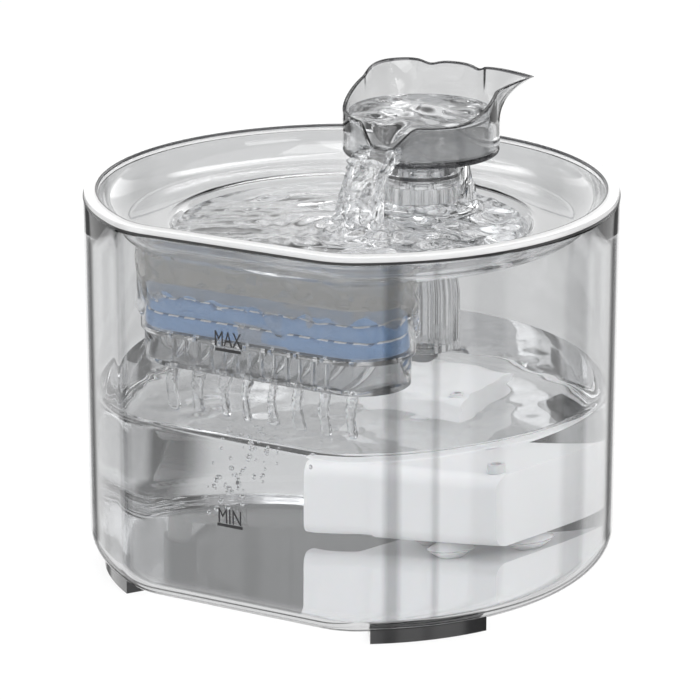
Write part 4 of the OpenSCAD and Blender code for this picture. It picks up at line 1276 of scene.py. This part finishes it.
def studio_world():
    """White to the camera, even light on what is dull, and for what is glossy or clear a white surround with
    dark strips, grey walls over the horizon, a dark gap and a bright ceiling."""
    world = bpy.context.scene.world or bpy.data.worlds.new("studio")
    bpy.context.scene.world = world
    world.use_nodes = True
    tree = world.node_tree
    tree.nodes.clear()
    way = split(tree, add(tree, "ShaderNodeTexCoord").outputs["Generated"])
    ray = add(tree, "ShaderNodeLightPath").outputs
    height = ramp(tree, way["Z"], [(0.0, 1.0), (0.10, 1.0), (0.17, 0.5), (0.30, 0.34), (0.5, 0.06),
                                   (0.66, 0.04), (0.74, 1.1), (1.0, 1.2)])
    share = maths(tree, "MULTIPLY_ADD", maths(tree, "ARCTAN2", way["Y"], way["X"]), 1 / TURN, 0.5)
    flags = ramp(tree, share, strips([(-166, 9, 0.12), (-44, 3.5, 0.25), (-26, 2, 0.45), (0, 8, 0.10),
                                      (52, 9, 0.12), (95, 6, 0.15), (143, 6, 0.15)]))
    walls = ramp(tree, share, [
        (0.0, 0.2), (0.09, 0.2), (0.10, 1.3), (0.20, 1.3), (0.21, 0.5), (0.30, 0.5), (0.31, 1.3),
        (0.38, 1.3), (0.39, 0.3), (0.70, 0.3), (0.705, 2.2), (0.757, 2.2), (0.765, 1.0), (0.93, 1.0),
        (0.94, 1.9), (0.99, 1.9)])
    lower = dimmed(tree, blended(tree, 1.0, height, flags, "MULTIPLY"),
                   mapped(tree, ray["Is Transmission Ray"], 0.0, 1.0, 1.0, 0.84))
    upper = dimmed(tree, blended(tree, 1.0, height, walls, "MULTIPLY"),
                   mapped(tree, ray["Is Transmission Ray"], 0.0, 1.0, 2.6, 1.0))
    studio = blended(tree, mapped(tree, way["Z"], 0.10, 0.16, 0.0, 1.0), lower, upper)
    seen = maths(tree, "MAXIMUM", ray["Is Glossy Ray"], ray["Is Transmission Ray"])
    colour = blended(tree, seen, (1, 1, 1, 1), studio)
    back = add(tree, "ShaderNodeBackground", Color=colour, Strength=1.0)
    add(tree, "ShaderNodeOutputWorld", Surface=back.outputs[0])


def floor_material():
    """White floor: plain white to the camera and to glass, with the object's soft shadow kept in it."""
    made, tree = new_material("floor")
    skin = surface(tree, (0.9, 0.9, 0.9), 0.02, 0.6, 0.1, 20.0, 900.0, 0.2)
    dull = add(tree, "ShaderNodeBsdfDiffuse", Color=skin.outputs["Colour"])
    ray = add(tree, "ShaderNodeLightPath").outputs
    seen = maths(tree, "MAXIMUM", ray["Is Camera Ray"], ray["Is Glossy Ray"])
    seen = maths(tree, "MAXIMUM", seen, ray["Is Transmission Ray"])
    glow = add(tree, "ShaderNodeEmission", Color=(1, 1, 1, 1), Strength=1.02)
    mixed = add(tree, "ShaderNodeMixShader", i0=maths(tree, "MULTIPLY", seen, 0.8), i1=dull.outputs[0],
                i2=glow.outputs[0])
    add(tree, "ShaderNodeOutputMaterial", Surface=mixed.outputs[0])
    return made


def aim(holder, way):
    """Turns a lamp or camera to look along a way."""
    holder.rotation_mode = "QUATERNION"
    holder.rotation_quaternion = Vector(way).to_track_quat("-Z", "Y")


def build_floor():
    """A wide round floor that what is glossy or clear doesn't show."""
    radius = 4.0
    rings = np.linspace(0, 1, 12) ** 2 * radius
    disc = revolve(np.stack([rings, 0 * rings], axis=1), 0, 0, 96)
    mesh = bpy.data.meshes.new("floor")
    mesh.from_pydata(disc.reshape(-1, 3).tolist(), [], grid_faces(*disc.shape[:2])[:, ::-1].tolist())
    mesh.materials.append(floor_material())
    floor = bpy.data.objects.new("floor", mesh)
    bpy.context.scene.collection.objects.link(floor)
    floor.visible_glossy = False
    floor.visible_transmission = False


def build_lamps():
    """Three soft lamps: over the part and at both its sides."""
    target = np.array([0, 0, 70 * MM])
    for name, size, energy, spot in (("overhead", 0.9, 5.0, (0.2, -0.3, 1.5)),
                                     ("left_panel", 0.6, 2.5, (-1.3, -0.5, 0.7)),
                                     ("right_panel", 0.6, 2.5, (1.2, -0.4, 0.8))):
        lamp = bpy.data.lights.new(name, "AREA")
        lamp.size = size
        lamp.energy = energy * bpy.context.scene.fountain_stage.light
        holder = bpy.data.objects.new(name, lamp)
        bpy.context.scene.collection.objects.link(holder)
        holder.location = spot
        aim(holder, target - np.array(spot))


def build_camera():
    """A long lens that looks at the tank from the front right, a little from above."""
    settings = bpy.context.scene.fountain_stage
    focal_px, centre_px = 3616.0, (351.7, 348.2)
    target = np.array([0, PLAN_Y, 78 * MM])
    a, e = settings.azimuth, settings.elevation
    back = np.array([math.sin(a) * math.cos(e), -math.cos(a) * math.cos(e), math.sin(e)])
    camera = bpy.data.cameras.new("camera")
    camera.sensor_width = 36.0
    camera.lens = focal_px / IMAGE * camera.sensor_width
    camera.shift_x = (0.5 * IMAGE - centre_px[0]) / IMAGE
    camera.shift_y = (centre_px[1] - 0.5 * IMAGE) / IMAGE
    camera.clip_end = 20.0
    eye = bpy.data.objects.new("camera", camera)
    bpy.context.scene.collection.objects.link(eye)
    eye.location = target + settings.distance * back
    aim(eye, -back)
    bpy.context.scene.camera = eye


def build_stage():
    """Render settings, studio light, floor, lamps and camera."""
    scene = bpy.context.scene
    scene.view_settings.view_transform = "Standard"
    cycles = scene.cycles
    cycles.max_bounces = 40
    cycles.transmission_bounces = 40
    cycles.glossy_bounces = 16
    cycles.transparent_max_bounces = 40
    cycles.diffuse_bounces = 3
    studio_world()
    build_floor()
    build_lamps()
    build_camera()


# ---------- operators ----------

class FOUNTAIN_OT_stage(Operator):
    """Sets the floor, the studio light and the camera"""

    bl_idname = "fountain.stage"
    bl_label = "Stage"

    def execute(self, context):
        build_stage()
        return {"FINISHED"}


class FOUNTAIN_OT_tank(Operator):
    """Builds the clear tank"""

    bl_idname = "fountain.tank"
    bl_label = "Tank"

    def execute(self, context):
        build_tank()
        return {"FINISHED"}


class FOUNTAIN_OT_tray(Operator):
    """Builds the drinking tray"""

    bl_idname = "fountain.tray"
    bl_label = "Tray"

    def execute(self, context):
        build_tray()
        return {"FINISHED"}


class FOUNTAIN_OT_seam(Operator):
    """Builds the painted shadow line under the tray's rim"""

    bl_idname = "fountain.seam"
    bl_label = "Seam"

    def execute(self, context):
        build_seam_shadow()
        return {"FINISHED"}


class FOUNTAIN_OT_lettering(Operator):
    """Builds the words over the level marks"""

    bl_idname = "fountain.lettering"
    bl_label = "Lettering"

    def execute(self, context):
        build_lettering()
        return {"FINISHED"}


class FOUNTAIN_OT_riser(Operator):
    """Builds the sleeve, pipe, collar and seal"""

    bl_idname = "fountain.riser"
    bl_label = "Riser"

    def execute(self, context):
        build_riser()
        return {"FINISHED"}


class FOUNTAIN_OT_cup(Operator):
    """Builds the pouring cup and its base"""

    bl_idname = "fountain.cup"
    bl_label = "Cup"

    def execute(self, context):
        build_cup()
        return {"FINISHED"}


class FOUNTAIN_OT_filter_box(Operator):
    """Builds the basket and the drip chamber"""

    bl_idname = "fountain.filter_box"
    bl_label = "Filter box"

    def execute(self, context):
        build_filter_box()
        return {"FINISHED"}


class FOUNTAIN_OT_filter_pads(Operator):
    """Builds the felt pads"""

    bl_idname = "fountain.filter_pads"
    bl_label = "Filter pads"

    def execute(self, context):
        build_pads()
        return {"FINISHED"}


class FOUNTAIN_OT_finishes(Operator):
    """Gives the frame's own pieces their finishes"""

    bl_idname = "fountain.finishes"
    bl_label = "Finishes"

    def execute(self, context):
        build_finishes()
        return {"FINISHED"}


class FOUNTAIN_OT_tank_water(Operator):
    """Fills the tank"""

    bl_idname = "fountain.tank_water"
    bl_label = "Tank water"

    def execute(self, context):
        build_tank_water()
        return {"FINISHED"}


class FOUNTAIN_OT_pool_water(Operator):
    """Fills the drinking pool"""

    bl_idname = "fountain.pool_water"
    bl_label = "Pool water"

    def execute(self, context):
        build_pool_water()
        return {"FINISHED"}


class FOUNTAIN_OT_cup_water(Operator):
    """Fills the cup"""

    bl_idname = "fountain.cup_water"
    bl_label = "Cup water"

    def execute(self, context):
        build_cup_water()
        return {"FINISHED"}


class FOUNTAIN_OT_stream(Operator):
    """Pours the stream from the lip"""

    bl_idname = "fountain.stream"
    bl_label = "Stream"

    def execute(self, context):
        build_stream()
        return {"FINISHED"}


class FOUNTAIN_OT_splash(Operator):
    """Throws beads round the stream's foot"""

    bl_idname = "fountain.splash"
    bl_label = "Splash"

    def execute(self, context):
        build_splash()
        return {"FINISHED"}


class FOUNTAIN_OT_filter_water(Operator):
    """Wets the filter"""

    bl_idname = "fountain.filter_water"
    bl_label = "Filter water"

    def execute(self, context):
        build_filter_water()
        return {"FINISHED"}


class FOUNTAIN_OT_drips(Operator):
    """Runs the drips under the filter"""

    bl_idname = "fountain.drips"
    bl_label = "Drips"

    def execute(self, context):
        build_drips()
        return {"FINISHED"}


class FOUNTAIN_OT_bubbles(Operator):
    """Hangs bubbles in the tank water"""

    bl_idname = "fountain.bubbles"
    bl_label = "Bubbles"

    def execute(self, context):
        build_bubbles()
        return {"FINISHED"}


STEPS = [
    FOUNTAIN_OT_stage, FOUNTAIN_OT_tank, FOUNTAIN_OT_tray, FOUNTAIN_OT_seam, FOUNTAIN_OT_lettering,
    FOUNTAIN_OT_riser, FOUNTAIN_OT_cup, FOUNTAIN_OT_filter_box, FOUNTAIN_OT_filter_pads,
    FOUNTAIN_OT_finishes, FOUNTAIN_OT_tank_water, FOUNTAIN_OT_pool_water, FOUNTAIN_OT_cup_water,
    FOUNTAIN_OT_stream, FOUNTAIN_OT_splash, FOUNTAIN_OT_filter_water, FOUNTAIN_OT_drips,
    FOUNTAIN_OT_bubbles,
]


class FOUNTAIN_PT_panel(Panel):
    """Lists the fountain's settings and building steps."""

    bl_label = "Fountain"
    bl_space_type = "VIEW_3D"
    bl_region_type = "UI"
    bl_category = "Fountain"

    def draw(self, context):
        for group in (context.scene.fountain_water, context.scene.fountain_finish,
                      context.scene.fountain_stage):
            box = self.layout.box()
            for name in group.__annotations__:
                box.prop(group, name)
        for step in STEPS:
            self.layout.operator(step.bl_idname)


CLASSES = [FountainWater, FountainFinish, FountainStage, *STEPS, FOUNTAIN_PT_panel]


def register():
    """Registers the classes and hangs the settings on the scene."""
    for made in CLASSES:
        bpy.utils.register_class(made)
    bpy.types.Scene.fountain_water = PointerProperty(type=FountainWater)
    bpy.types.Scene.fountain_finish = PointerProperty(type=FountainFinish)
    bpy.types.Scene.fountain_stage = PointerProperty(type=FountainStage)


def unregister():
    """Takes the settings off the scene and unregisters the classes."""
    del bpy.types.Scene.fountain_stage, bpy.types.Scene.fountain_finish, bpy.types.Scene.fountain_water
    for made in reversed(CLASSES):
        bpy.utils.unregister_class(made)


def main():
    """Builds everything in order."""
    register()
    for step in STEPS:
        getattr(bpy.ops.fountain, step.bl_idname.split(".")[1])()


if __name__ == "__main__":
    main()
